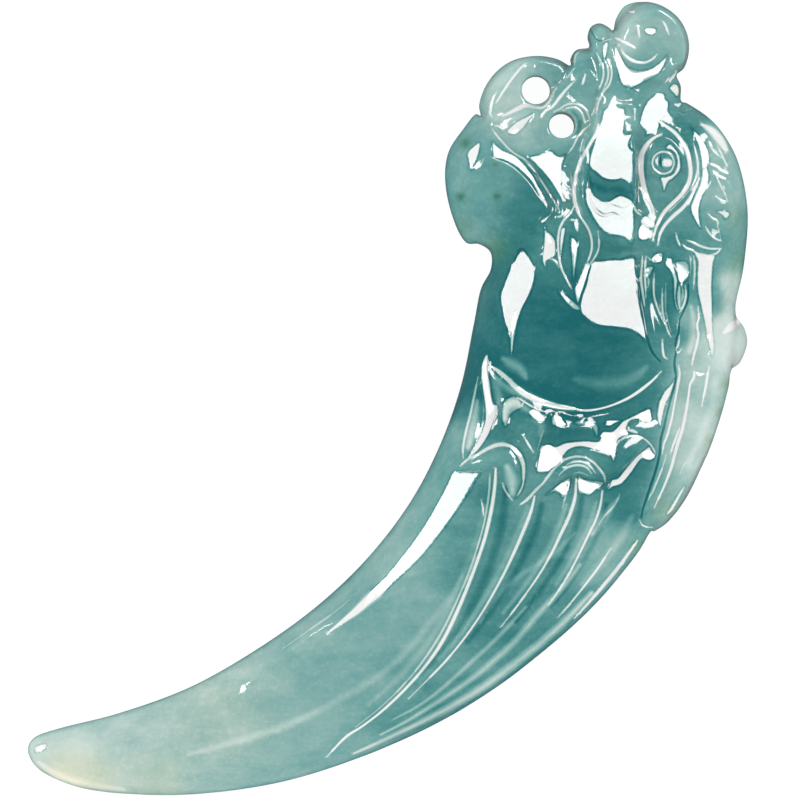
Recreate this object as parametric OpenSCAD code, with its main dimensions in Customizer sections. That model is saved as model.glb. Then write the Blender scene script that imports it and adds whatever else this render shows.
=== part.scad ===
/* [Pendant] */
// Width from the tusk's tip to the mane
pendant_w = 50.5; // [42:0.5:60]
// Length from the tusk's belly to the crest curl
pendant_l = 55.7; // [46:0.5:66]
// Thickness from the flat back to the highest carving
pendant_t = 8.6; // [7:0.1:11]
// Rounding of the edge round the flat back, as a share of the height there
arris = 0.09; // [0.05:0.01:0.12]

/* [Drilled holes] */
// Diameter of the upper hole, through the cord disc
upper_hole_d = 2; // [1.2:0.1:2.4]
// Diameter of the lower hole, through the leaf
lower_hole_d = 1.8; // [1.2:0.1:2.2]

/* [Carving] */
// Sections between two rows of a large form's table
large_steps = 3; // [2:1:4]
// Facets over the crown of a large form
large_sides = 12; // [8:2:14]
// Half the width of a carved line's ridge
ridge_half = 0.35; // [0.25:0.05:0.45]

/* [Hidden] */
jade = [0.38, 0.62, 0.59];
clear = 1; // how far a drill runs past each face
sunk = 3; // height at which the smaller forms start, inside the larger ones

// Facets and sections of the smaller forms
small_steps = 2;
feather_steps = 3;
small_sides = 6;
ridge_sides = 4;
boss_sides = 8;
boss_facets = 12;
big_boss = 2; // half width past which a boss has more facets
big_boss_facets = 32;

// How an ellipse is fattened into a crown: 1 leaves it as it is, and less is flatter on top
oval = 0.8;
full = 0.7;
broad = 0.6;
flat = 0.45;

// Size at which the tables below are charted, X to the right and Y to the crest
chart = [50.5, 55.7, 8.6];
stretch = [pendant_w / chart[0], pendant_l / chart[1]];
upper_hole_at = [10.4 * stretch[0], 21.6 * stretch[1]];
lower_hole_at = [12.2 * stretch[0], 19 * stretch[1]];

// Forms, each a row per section: left edge X and Y, right edge X and Y, height of the crown
tusk = [
    [7.9, 12, 22, 12, 6.4],
    [7.3, 9.7, 22.4, 9, 7],
    [6.6, 7.9, 22, 6, 7.3],
    [6, 5.1, 21.8, 3, 7.4],
    [5.1, 0.8, 21.4, -1.6, 7.4],
    [3.6, -3.4, 20.2, -6.6, 7.3],
    [1.5, -7.4, 17.4, -10.9, 7.2],
    [-1.5, -11.3, 13.4, -15.5, 6.9],
    [-5.1, -14.7, 7.2, -20.5, 6.5],
    [-9.3, -17.7, 0.6, -24.1, 6],
    [-13.9, -20.3, -7.1, -26.8, 5.2],
    [-18.8, -22.1, -14.6, -27.8, 4.3],
    [-23.1, -23.2, -21.2, -27.4, 3.1],
    [-24.7, -23.8, -24, -26.4, 2.1],
    [-25.2, -24.6, -25.1, -25.3, 1.2],
];
mane = [
    [17.2, 20.6, 20.5, 20.7, 5],
    [16.8, 19, 22.2, 19.8, 6],
    [16.8, 17, 23.4, 18.5, 6.6],
    [17, 14.5, 24.4, 16.7, 6.8],
    [17.4, 12.5, 25.1, 14.3, 6.6],
    [17.8, 10.5, 25.2, 12.2, 6.4],
    [18.6, 8, 24.9, 9.1, 6.2],
    [19.2, 5.5, 24.3, 6.4, 5.8],
    [19.6, 3, 23.6, 3, 5.2],
];
fin = [
    [20.6, 6.6, 24.3, 6.2, 5.4],
    [20.2, 3.7, 24.1, 3.4, 6.2],
    [20.3, 1.9, 23.9, 1.2, 6.6],
    [19.9, -0.2, 23.6, -0.7, 6.6],
    [19.2, -3.3, 22.3, -4.1, 6.3],
    [18.4, -6.4, 20.9, -7, 5.7],
    [18, -8.2, 19.7, -8.6, 4.9],
    [18.2, -9.1, 18.9, -9.3, 3.6],
];
skull = [
    [7.8, 10.4, 22.4, 10.6, 6.2],
    [8.6, 12.8, 23.6, 13, 6.4],
    [10, 15.8, 23.2, 16.4, 6.4],
    [12.4, 18.6, 21.6, 19.2, 6.2],
    [14.4, 21.2, 20.3, 21.5, 5.6],
];
pearl = [
    [6.8, 10.6, 11.6, 9, 3],
    [5.5, 11.1, 12.2, 10.2, 5.6],
    [4.7, 12.2, 12.3, 11.8, 6.8],
    [4.2, 13.9, 12.2, 13.4, 7.2],
    [4.1, 15.8, 11.6, 15.2, 7.2],
    [4.4, 17.4, 10, 17.1, 6.6],
    [5.3, 18.9, 8.5, 18.3, 5.2],
    [6.1, 19.9, 7.3, 19.2, 3.2],
];
leaf = [
    [7.3, 19.4, 7.5, 18.8, 3.2],
    [8.9, 20.2, 9, 17.4, 4.4],
    [10.6, 20.5, 11.6, 16.6, 4.8],
    [11.4, 21.2, 14.2, 18.2, 5],
    [12.2, 22.4, 14.9, 20.6, 5],
    [12.9, 23.4, 15, 22.6, 4.6],
    [13.1, 24.2, 14.8, 24.3, 3.6],
];
stalk = [
    [14.1, 25.4, 15.9, 25.7, 4],
    [14.1, 24.3, 16.5, 24, 4.8],
    [14.5, 22.5, 16.8, 22.6, 5.6],
    [14.6, 21, 17.2, 21.2, 6.4],
    [14.4, 19.6, 17.4, 19.8, 6.8],
];
crest_neck = [
    [15.2, 24, 20.9, 23.6, 4.9],
    [15.8, 22.2, 20.1, 22.3, 5.4],
    [16.2, 21, 20.4, 21, 5.8],
    [16.6, 19.6, 20.6, 20, 6.2],
];
brow = [
    [17.2, 21.2, 19.8, 21.3, 6.4],
    [17.2, 19.6, 20.2, 19.4, 7.3],
    [17.5, 18, 20, 17.8, 7.8],
];
snout = [
    [14.9, 21.6, 17.6, 21.6, 6.2],
    [14.6, 19.6, 17.7, 19.6, 7],
    [13.9, 17.4, 17.6, 17.4, 7.7],
    [13.2, 15.6, 17.5, 15.6, 8.1],
    [13.2, 15, 17.5, 14.9, 7.2],
];
muzzle = [
    [13.1, 14.8, 17.5, 14.8, 6.9],
    [13, 13.2, 17.4, 13, 7.4],
    [13.6, 11.4, 17.3, 11, 8],
    [13.9, 10.8, 17.2, 10.5, 7],
];
chin = [
    [14, 9.7, 17.2, 9.8, 6.7],
    [13.8, 7.6, 17.4, 7.6, 7.3],
    [13.4, 6.1, 17.8, 5.7, 7.9],
    [13.9, 5.4, 18.2, 4.1, 7.7],
];
cheek = [
    [10, 17.2, 13, 17.4, 6.2],
    [10.8, 15.6, 13.4, 15.6, 6.8],
    [11.6, 14.2, 13.6, 13.8, 6.9],
    [11.8, 12.4, 13.9, 12.2, 6.9],
    [12, 9.6, 14.2, 9.4, 7.3],
];
beard = [
    [17.2, 12.2, 21.7, 12.2, 6.8],
    [17.3, 9.6, 21.5, 9.6, 7.2],
    [17.7, 6.5, 21.2, 6.5, 7.4],
    [18.2, 4.2, 20.9, 4.2, 7.6],
    [18.9, 2.6, 20.4, 2.5, 7.3],
];
scroll = [
    [6.9, 3.2, 5.8, -0.8, 5.6],
    [7.6, 1.8, 5.6, -4.4, 6.6],
    [8.9, 0.9, 7.6, -6.4, 7.5],
    [10.6, -0.3, 9.4, -7.2, 7.9],
    [12.7, -0.8, 12, -6, 8],
    [14.8, -0.8, 15, -5.9, 8],
    [16.9, 0, 16.9, -4.6, 7.8],
    [18.3, 1, 18.5, -2.8, 7.4],
    [19.3, 2, 19.5, -0.6, 6.6],
];
feathers = [
    [
        [7.2, -5.6, 10.3, -6.3, 7.6],
        [6.6, -8.9, 9.6, -8.7, 7.6],
        [5.6, -12.4, 8, -12.4, 7.4],
        [4, -15.9, 5.8, -15.9, 7.1],
        [0.8, -20.8, 2.2, -20.4, 6.5],
        [-4.2, -25.1, -3.6, -24.6, 4.4],
    ],
    [
        [10.2, -6.3, 13.3, -6, 7.7],
        [9.7, -8.4, 12.6, -8.4, 7.5],
        [8, -12.4, 10.4, -12.4, 7.2],
        [5.5, -16.3, 7.4, -16.3, 6.8],
        [0.9, -22.1, 2.3, -21.8, 5.8],
    ],
    [
        [13.2, -6, 14.9, -6.2, 7.6],
        [12.5, -8.5, 14.5, -8.4, 7.2],
        [10.4, -12.4, 12.3, -12.7, 6.8],
        [7.6, -16.2, 9.4, -16.3, 6.4],
        [3, -21, 4.3, -20.9, 5.6],
    ],
    [
        [14.8, -5.6, 17.2, -5.6, 7.2],
        [14.4, -8.4, 16.4, -8.6, 6.6],
        [12.6, -12.4, 14.4, -12.6, 5.9],
        [9.6, -16.2, 11.2, -16.4, 5.5],
        [5, -20.6, 6.4, -20.3, 4.8],
    ],
];

// Ridges, a row per point of the route: X, Y, height, and half the width in ridge_half
ridges = [
    // Eye: inner lid, outer lid and the fold behind it
    [[19.1, 18.6, 8.2, 0.8], [17.9, 17.3, 8.3, 1], [17.6, 15.6, 8.3, 1], [18.1, 13.8, 8.2, 1],
        [18.8, 12.4, 8, 0.8]],
    [[19, 19.1, 8.2, 0.8], [20.4, 17.9, 8.4, 1], [20.9, 16, 8.4, 1.1], [20.5, 14.1, 8.3, 1],
        [19.2, 12.6, 8.1, 1], [18.4, 11, 7.6, 0.8]],
    [[21, 19, 6.8, 0.8], [22.2, 17, 7.4, 1.3], [22.3, 15.2, 7.4, 1.3], [21.5, 13.4, 7.4, 1.1],
        [21.8, 11.7, 7.1, 0.8]],
    // Fangs beside the muzzle
    [[13, 13.6, 7.6, 0.8], [11.9, 12.1, 7.8, 1.2], [11.7, 10, 7.9, 1.3], [12.5, 8.1, 7.9, 1.2],
        [13.4, 6.2, 7.7, 0.8]],
    [[13.1, 13.4, 7.8, 0.8], [14.1, 11.5, 8.1, 1.2], [14.2, 10, 8.1, 1.2], [13.6, 8.4, 8, 1],
        [13.4, 6.6, 7.8, 0.7]],
    // Folds of the cheek that run up past the lower hole
    [[7.5, 18.7, 4.9, 0.8], [9, 16.9, 6.2, 1.1], [10.5, 15.7, 6.9, 1.2], [11.6, 14.2, 7.2, 1.2],
        [12.2, 12.8, 7.4, 1]],
    [[14.9, 22, 6.6, 1], [14.6, 19.4, 7.3, 1.3], [14.1, 17.4, 7.7, 1.2], [13.2, 15.6, 7.8, 1.1],
        [13.1, 13.6, 7.6, 1]],
    // Crescent and ball of the crest curl
    [[15.7, 24.5, 5.4, 0.7], [16.7, 23.1, 6, 1.4], [18, 22.8, 6.1, 1.5], [19.6, 23.9, 5.8, 0.7]],
    // Beard strands
    [[18, 9.6, 7.6, 0.8], [17.8, 8.2, 7.8, 1], [18.1, 6.2, 7.9, 1], [18.9, 4.2, 7.8, 0.8]],
    [[18.7, 9.4, 7.6, 0.8], [18.7, 7.6, 7.9, 1], [19.3, 5.4, 8, 1], [19.8, 3.9, 7.8, 0.8]],
    [[19.5, 9.4, 7.5, 0.8], [19.7, 7.4, 7.8, 1], [20.1, 5.4, 7.8, 1], [20.4, 3.6, 7.6, 0.8]],
    // Tufts of the mane
    [[20.6, 11.4, 7, 0.8], [21.6, 10.5, 7.3, 1.4], [23.3, 10.4, 6.9, 0.9]],
    [[22.4, 18, 6.6, 0.8], [23, 16.9, 6.9, 1.2], [23.5, 15.9, 6.4, 0.7]],
    [[22.8, 15.4, 6.8, 0.8], [23.3, 14.4, 6.9, 1.2], [23.7, 13.4, 6.5, 0.7]],
    [[22.7, 12.9, 6.8, 0.8], [23.1, 11.9, 6.9, 1.2], [23.3, 10.9, 6.6, 0.7]],
    // Long chamfer of the mane, and the quill of the fin below it
    [[22.2, 10, 6.8, 1], [22.3, 7, 6.9, 1.6], [22.3, 4.5, 6.8, 1.4], [22.3, 2.6, 6.6, 0.7]],
    [[21.6, 5.4, 6.8, 0.8], [21.3, 2.4, 7, 1.1], [20.8, -1.5, 6.9, 1.2], [20, -4.3, 6.6, 1.1],
        [18.8, -7.6, 5.7, 0.8]],
    // Rim of the scroll and the strap at its left end
    [[6.9, 3.1, 6.2, 0.8], [8.2, 1.5, 7.4, 1.1], [10.6, -0.2, 8.1, 1.2], [14.1, -0.7, 8.3, 1.2],
        [16.9, 0.1, 8, 1.2], [18.3, 1.1, 7.7, 1], [19.3, 2.1, 7.2, 0.8]],
    [[6.9, 2.8, 6.2, 0.8], [7.1, -0.1, 7.3, 1.5], [6.6, -2.4, 7.4, 1.4], [5.6, -4, 6.8, 0.7]],
    // Claw, with its point to the left
    [[4.8, -4.9, 5.8, 0.5], [6.4, -4.4, 7.4, 1.6], [8, -4.2, 8.2, 2.4], [9, -5.3, 8.4, 2.6],
        [8.9, -6.6, 8, 1.8], [8.4, -7.5, 7.6, 0.7]],
    // Cloud scrolls, their stem and their tail
    [[9, -7.3, 7.6, 0.7], [11, -5.7, 8.2, 1.3], [11.8, -4.8, 8.4, 1.4], [13.2, -4.2, 8.5, 1.4],
        [14.6, -4.8, 8.3, 1.4], [15.1, -5.9, 7.9, 0.9]],
    [[13.1, -5, 8.3, 1], [12.9, -6.6, 8, 0.9], [12.6, -7.8, 7.7, 0.7]],
    [[15.8, -4.4, 8, 1], [16.2, -3, 8.2, 1.3], [17.2, -2.6, 8, 1.3], [18.4, -3.6, 7.2, 0.8]],
    [[16.6, -2.3, 8.1, 1], [17.2, -1.5, 8.1, 1.3], [18.3, -1.6, 7.8, 1.2], [18.9, -2.8, 7, 0.8]],
    [[15.2, -6.4, 7.7, 0.9], [16, -5.3, 7.8, 1.1], [17.7, -3.6, 7.5, 0.8]],
];

// Bosses: centre X and Y, half width, half length, height, height of the foot
bosses = [
    [10.2, 20.2, 3.8, 3.8, 3.5, 0], // cord disc
    [13.7, 23.7, 0.85, 0.85, 3.8, 0], // bump on the leaf
    [14.9, 25.3, 0.95, 0.95, 4.3, 0], // bump on the stalk
    [18.4, 24.7, 2.7, 3.15, 5.2, 0], // crest curl
    [17.7, 25.3, 1.9, 1.8, 6, sunk], // ball in the curl
    [19.9, 21.4, 0.6, 0.8, 4.4, 0], // nub under the curl
    [22.3, 3.85, 2.9, 2.8, 3.4, 0], // lobe between the mane and the fin
    [19.3, 15.6, 2.5, 4.2, 7.7, sunk], // socket of the eye
    [19.2, 15.7, 1.2, 2.2, 8.2, sunk], // eyeball
    [19.2, 16.3, 0.8, 0.8, 8.5, sunk], // pupil
    [12.4, 18.8, 2.5, 2.5, 5, 1.6], // dish round the lower hole
    [20.4, 7.6, 0.6, 1.4, 7.8, sunk], // drop in the beard
    [9.4, -1.7, 1.5, 1.6, 8.4, sunk], // left knob of the scroll
    [13, -2.3, 1.7, 1, 8.5, sunk], // middle knob
    [15.6, -2.1, 0.7, 0.6, 8.3, sunk], // right knob
    [13.2, -5.6, 1.1, 1, 8.2, sunk], // heart of the cloud
];

function blend(a, b, c, d, u) =
    0.5 * (2 * b + (c - a) * u + (2 * a - 5 * b + 4 * c - d) * u * u + (3 * b - a - 3 * c + d) * u * u * u);

// A smooth run through the rows of a table
function smooth(rows, steps) =
    let (last = len(rows) - 1)
    [
        for (i = [0 : last - 1], s = [0 : steps - 1])
            blend(rows[max(i - 1, 0)], rows[i], rows[i + 1], rows[min(i + 2, last)], s / steps),
        rows[last],
    ];

// Route rows turned into rows of left edge, right edge and height
function edges(route) =
    let (last = len(route) - 1)
    [
        for (i = [0 : last])
            let (
                ahead = route[min(i + 1, last)] - route[max(i - 1, 0)],
                side = [-ahead[1], ahead[0]] / norm([ahead[0], ahead[1]]) * route[i][3] * ridge_half,
                mid = [route[i][0], route[i][1]]
            )
            [mid[0] + side[0], mid[1] + side[1], mid[0] - side[0], mid[1] - side[1], route[i][2]]
    ];

// Points of one section from its left edge: a crown that is an ellipse fattened by fullness, and at
// the back a flat foot with a rounded arris. A sunk form has no arris.
function section(row, sides, fullness, base) =
    let (
        left = left_of(row),
        right = right_of(row),
        width = norm(right - left),
        waist = base > 0 ? base : arris * row[4],
        foot = min(arris * row[4] / width, 0.3),
        crown = [
            for (i = [0 : sides])
                let (turn = 180 * i / sides, reach = pow(abs(cos(turn)), fullness))
                [0.5 - sign(cos(turn)) * reach / 2, waist + (row[4] - waist) * pow(sin(turn), fullness)]
        ],
        loop = base > 0 ? crown : concat([[foot, 0]], crown, [[1 - foot, 0]])
    )
    [
        for (p = loop)
            let (place = left + (right - left) * p[0])
            [place[0], place[1], p[1]]
    ];

function left_of(row) = [row[0], row[1]];
function right_of(row) = [row[2], row[3]];
function middle(row) = (left_of(row) + right_of(row)) / 2;

// Positive where the rows advance to the left of the way from left edge to right edge
function heading(run) =
    let (last = len(run) - 2)
    [for (i = [0 : last]) cross(right_of(run[i]) - left_of(run[i]), middle(run[i + 1]) - middle(run[i]))]
    * [for (i = [0 : last]) 1];

// A carved form over the rows of left edge, right edge and height
module form(rows, steps, sides, fullness, base = 0) {
    run = smooth(rows, steps);
    count = sides + (base > 0 ? 1 : 3);
    turned = heading(run) < 0;
    skin = [
        for (i = [0 : len(run) - 2], j = [0 : count - 1])
            let (a = i * count + j, b = i * count + (j + 1) % count)
            each [[a, b, b + count], [a, b + count, a + count]]
    ];
    first = [for (j = [count - 1 : -1 : 0]) j];
    end = [for (j = [0 : count - 1]) (len(run) - 1) * count + j];
    faces = concat(skin, [first, end]);
    polyhedron(
        [for (row = run) each section(row, sides, fullness, base)],
        [for (face = faces) turned ? face : [for (j = [len(face) - 1 : -1 : 0]) face[j]]]
    );
}

// A domed oval with the same section as a form
module boss(row) {
    half = section([-1, 0, 1, 0, row[4]], boss_sides, full, row[5]);
    rim = [for (p = half) if (p[0] >= 0) [p[0], p[2]]];
    translate([row[0], row[1], 0])
        scale([row[2], row[3], 1])
            rotate_extrude($fn = row[2] > big_boss ? big_boss_facets : boss_facets)
                polygon(concat([[0, row[5]]], rim));
}

module carving() {
    form(tusk, large_steps, large_sides, oval);
    form(mane, large_steps, large_sides - 2, full);
    form(fin, large_steps, large_sides - 4, full);
    form(skull, small_steps, large_sides - 4, broad);
    form(pearl, large_steps, large_sides - 2, full);
    form(leaf, small_steps, large_sides - 4, broad);
    form(stalk, small_steps, small_sides, full);
    form(crest_neck, small_steps, small_sides, full);
    form(scroll, small_steps, large_sides - 4, flat);
    for (rows = [snout, muzzle, chin])
        form(rows, small_steps, large_sides - 4, flat, sunk);
    for (rows = [brow, cheek, beard])
        form(rows, small_steps, small_sides, broad, sunk);
    for (rows = feathers)
        form(rows, feather_steps, ridge_sides, broad, sunk);
    for (route = ridges)
        form(edges(smooth(route, small_steps)), 1, ridge_sides, full, sunk);
    for (row = bosses)
        boss(row);
}

module drill(place, diameter) {
    translate([place[0], place[1], -clear])
        cylinder(h = pendant_t + 2 * clear, d = diameter, $fn = 48);
}

// One stone: the carving at its real size, with two cord holes drilled from face to back
module carved_pendant() {
    color(jade)
        difference() {
            resize([pendant_w, pendant_l, pendant_t]) carving();
            drill(upper_hole_at, upper_hole_d);
            drill(lower_hole_at, lower_hole_d);
        }
}

carved_pendant();
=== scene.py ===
import math

import bpy
import numpy as np
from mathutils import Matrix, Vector
from mathutils.geometry import delaunay_2d_cdt
from mathutils.kdtree import KDTree


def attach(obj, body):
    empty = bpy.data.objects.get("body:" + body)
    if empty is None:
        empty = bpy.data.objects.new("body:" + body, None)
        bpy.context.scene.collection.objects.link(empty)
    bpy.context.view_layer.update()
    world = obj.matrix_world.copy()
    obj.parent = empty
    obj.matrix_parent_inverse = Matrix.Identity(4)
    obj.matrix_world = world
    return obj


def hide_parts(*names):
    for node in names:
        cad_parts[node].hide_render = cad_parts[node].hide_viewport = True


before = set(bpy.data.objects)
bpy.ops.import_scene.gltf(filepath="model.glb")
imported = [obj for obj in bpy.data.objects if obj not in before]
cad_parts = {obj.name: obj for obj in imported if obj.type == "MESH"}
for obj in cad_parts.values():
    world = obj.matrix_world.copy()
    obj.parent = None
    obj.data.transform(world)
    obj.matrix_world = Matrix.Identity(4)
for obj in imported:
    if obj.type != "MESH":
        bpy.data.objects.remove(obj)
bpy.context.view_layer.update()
mm = 0.001
print("frame loaded")

# Camera straight above the carved face, as in the photo

cameraSetup = {
    "lens": 500.0,  # long, so that the raised carving hardly shifts
    "sensor": 36.0,
    "pictureWidth": 56.0,  # mm across the picture
    "aim": (0.84, -0.14),  # mm on the stone's face
    "sharpHeight": 3.0,  # mm above the table, where the picture has its true width
    "clip": (0.01, 10.0),  # m
}


def addCamera(v):
    distance = v["pictureWidth"] * v["lens"] / v["sensor"] + v["sharpHeight"]
    bpy.ops.object.camera_add(location=(v["aim"][0] * mm, v["aim"][1] * mm, distance * mm))
    camera = bpy.context.object
    camera.name = "photoCamera"
    camera.data.lens = v["lens"]
    camera.data.sensor_width = v["sensor"]
    camera.data.clip_start, camera.data.clip_end = v["clip"]
    bpy.context.scene.camera = camera


# Each lamp: compass bearing with the crest to the north, angle from straight above, the spans of both in
# degrees, radiance
lamps = {
    "facePanel": (32, 38, 46, 23, 13.5),
    "flankPanel": (299, 73, 22, 22, 13.0),
}
lampDistance = 0.42  # m
lampColour = (1.0, 0.88, 0.86)
sky = {"light": 1.0, "reflection": 0.15}


def addLamp(name, bearing, lean, bearingSpan, leanSpan, radiance):
    turn, tip = math.radians(bearing), math.radians(lean)
    way = Vector((math.sin(turn) * math.sin(tip), math.cos(turn) * math.sin(tip), math.cos(tip)))
    bpy.ops.object.light_add(type="AREA", location=way * lampDistance)
    lamp = bpy.context.object
    lamp.name = name
    lamp.rotation_euler = way.to_track_quat("Z", "Y").to_euler()
    lamp.data.shape = "RECTANGLE"
    lamp.data.size = 2 * lampDistance * math.sin(tip) * math.tan(math.radians(bearingSpan / 2))
    lamp.data.size_y = 2 * lampDistance * math.tan(math.radians(leanSpan / 2))
    lamp.data.energy = radiance * math.pi * lamp.data.size * lamp.data.size_y
    lamp.data.color = lampColour
    lamp.visible_camera = False
    lamp.visible_diffuse = False  # the panels only show as reflections, the sky gives the even light


def addWorld(v):
    world = bpy.data.worlds.new("studioGrey")
    world.use_nodes = True
    nodes, links = world.node_tree.nodes, world.node_tree.links
    background = nodes["Background"]
    background.inputs["Color"].default_value = (1, 1, 1, 1)
    path = nodes.new("ShaderNodeLightPath")
    level = nodes.new("ShaderNodeMapRange")
    level.inputs["To Min"].default_value = v["light"]
    level.inputs["To Max"].default_value = v["reflection"]
    links.new(path.outputs["Is Glossy Ray"], level.inputs["Value"])
    links.new(level.outputs["Result"], background.inputs["Strength"])
    bpy.context.scene.world = world
    bpy.context.scene.view_settings.view_transform = "Standard"


addCamera(cameraSetup)
for name, row in lamps.items():
    addLamp(name, *row)
addWorld(sky)
print("camera and lights placed")


# The stone, in mm on its face: X to the right, Y to the crest, height from the back

stone = {
    "waist": 0.55,  # height of the edge, above the rounded arris at the back
    "arris": 0.5,
    "arrisAngles": (20, 40, 60, 90),  # degrees round it where the mesh has a row
    "rim": (1.0, 0.5),  # radius of the rounding along the face's edge, below and on the crest
    "rimAngles": (12, 22, 32, 42, 54, 66, 78),
    "rimShare": 0.6,  # most of the stone's height there that the rounding takes
    "leastRim": 0.05,
    "crest": (20.8, 22.6),  # Y where the crest's sharper edge starts and is reached
    "lip": 0.22,  # the same round the drilled holes
    "ground": 0.95,  # height where no form stands
    "bodyWear": 150,  # rounds of smoothing on the body alone
    "formWear": 5,  # and on all forms
    "cutBlend": 0.08,  # over which a cut's edge is worn
    "quietFall": 0.16,  # steepest fall towards the face lamp outside the cuts
    "mostQuieted": 0.6,  # how much of a steeper fall is taken away at most
    "settleRounds": 400,
    "strokeRise": 0.6,  # share of each stroke's height below
    "fineStep": 0.15,  # mesh spacing in the carved part
    "plainStep": 0.21,  # and on the plain tusk
    "backStep": 0.9,
    "edgeStep": 0.15,
    "upperHole": (10.36, 21.56, 1.0),
    "lowerHole": (12.15, 19.04, 0.9),
    "holeSides": 56,
}
curveSteps = {"outline": 14, "form": 10, "stroke": 8, "loop": 4}  # steps between two rows of a soft curve
crownPower = {"form": 2.3, "boss": 2.1, "arris": 2.0}  # how full a rounding is, 2 for a circle

outlinePoints = [
    (16.0, 26.6), (16.6, 27.5), (17.7, 27.8), (19.0, 27.5), (20.2, 26.7), (20.9, 25.6), (21.1, 24.4),
    (20.8, 23.2), (20.2, 22.6), (20.5, 21.8), (20.5, 20.8), (21.0, 20.6), (22.2, 19.8), (23.4, 18.5),
    (24.4, 16.7), (25.0, 14.4), (25.2, 12.3), (24.9, 9.1), (24.4, 6.8), (24.4, 5.8), (25.0, 4.9),
    (25.2, 3.8), (24.7, 2.5), (24.0, 1.9), (23.8, 0.7), (23.2, -1.5), (22.3, -4.1), (21.0, -6.9),
    (19.7, -8.6), (18.7, -9.3), (18.3, -9.4), (17.4, -10.9), (15.6, -13.2), (13.4, -15.5), (10.5, -18.0),
    (7.2, -20.5), (3.0, -23.0), (-1.8, -25.1), (-7.1, -26.8), (-12.8, -27.7), (-17.4, -27.8), (-21.2, -27.4),
    (-24.1, -26.3), (-25.2, -25.0), (-24.9, -23.9), (-23.1, -23.2), (-18.8, -22.1), (-13.9, -20.3),
    (-9.3, -17.7), (-5.1, -14.7), (-1.5, -11.3), (1.5, -7.4), (3.6, -3.4), (5.1, 0.8), (6.0, 5.1),
    (6.5, 7.6), (7.2, 9.0), (7.2, 10.2), (6.4, 10.8), (5.5, 10.9), (4.8, 12.0), (4.2, 13.9), (4.0, 15.8),
    (4.3, 17.4), (5.3, 18.9), (6.1, 19.9), (6.5, 19.8), (6.4, 20.6), (6.8, 21.8), (7.6, 22.9), (8.8, 23.7),
    (10.4, 24.0), (11.8, 23.8), (12.8, 23.3), (12.8, 23.8), (13.2, 24.4), (14.1, 24.6), (14.0, 25.3),
    (14.2, 26.0), (14.8, 26.3), (15.4, 26.0), (15.8, 25.8),
]

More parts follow.
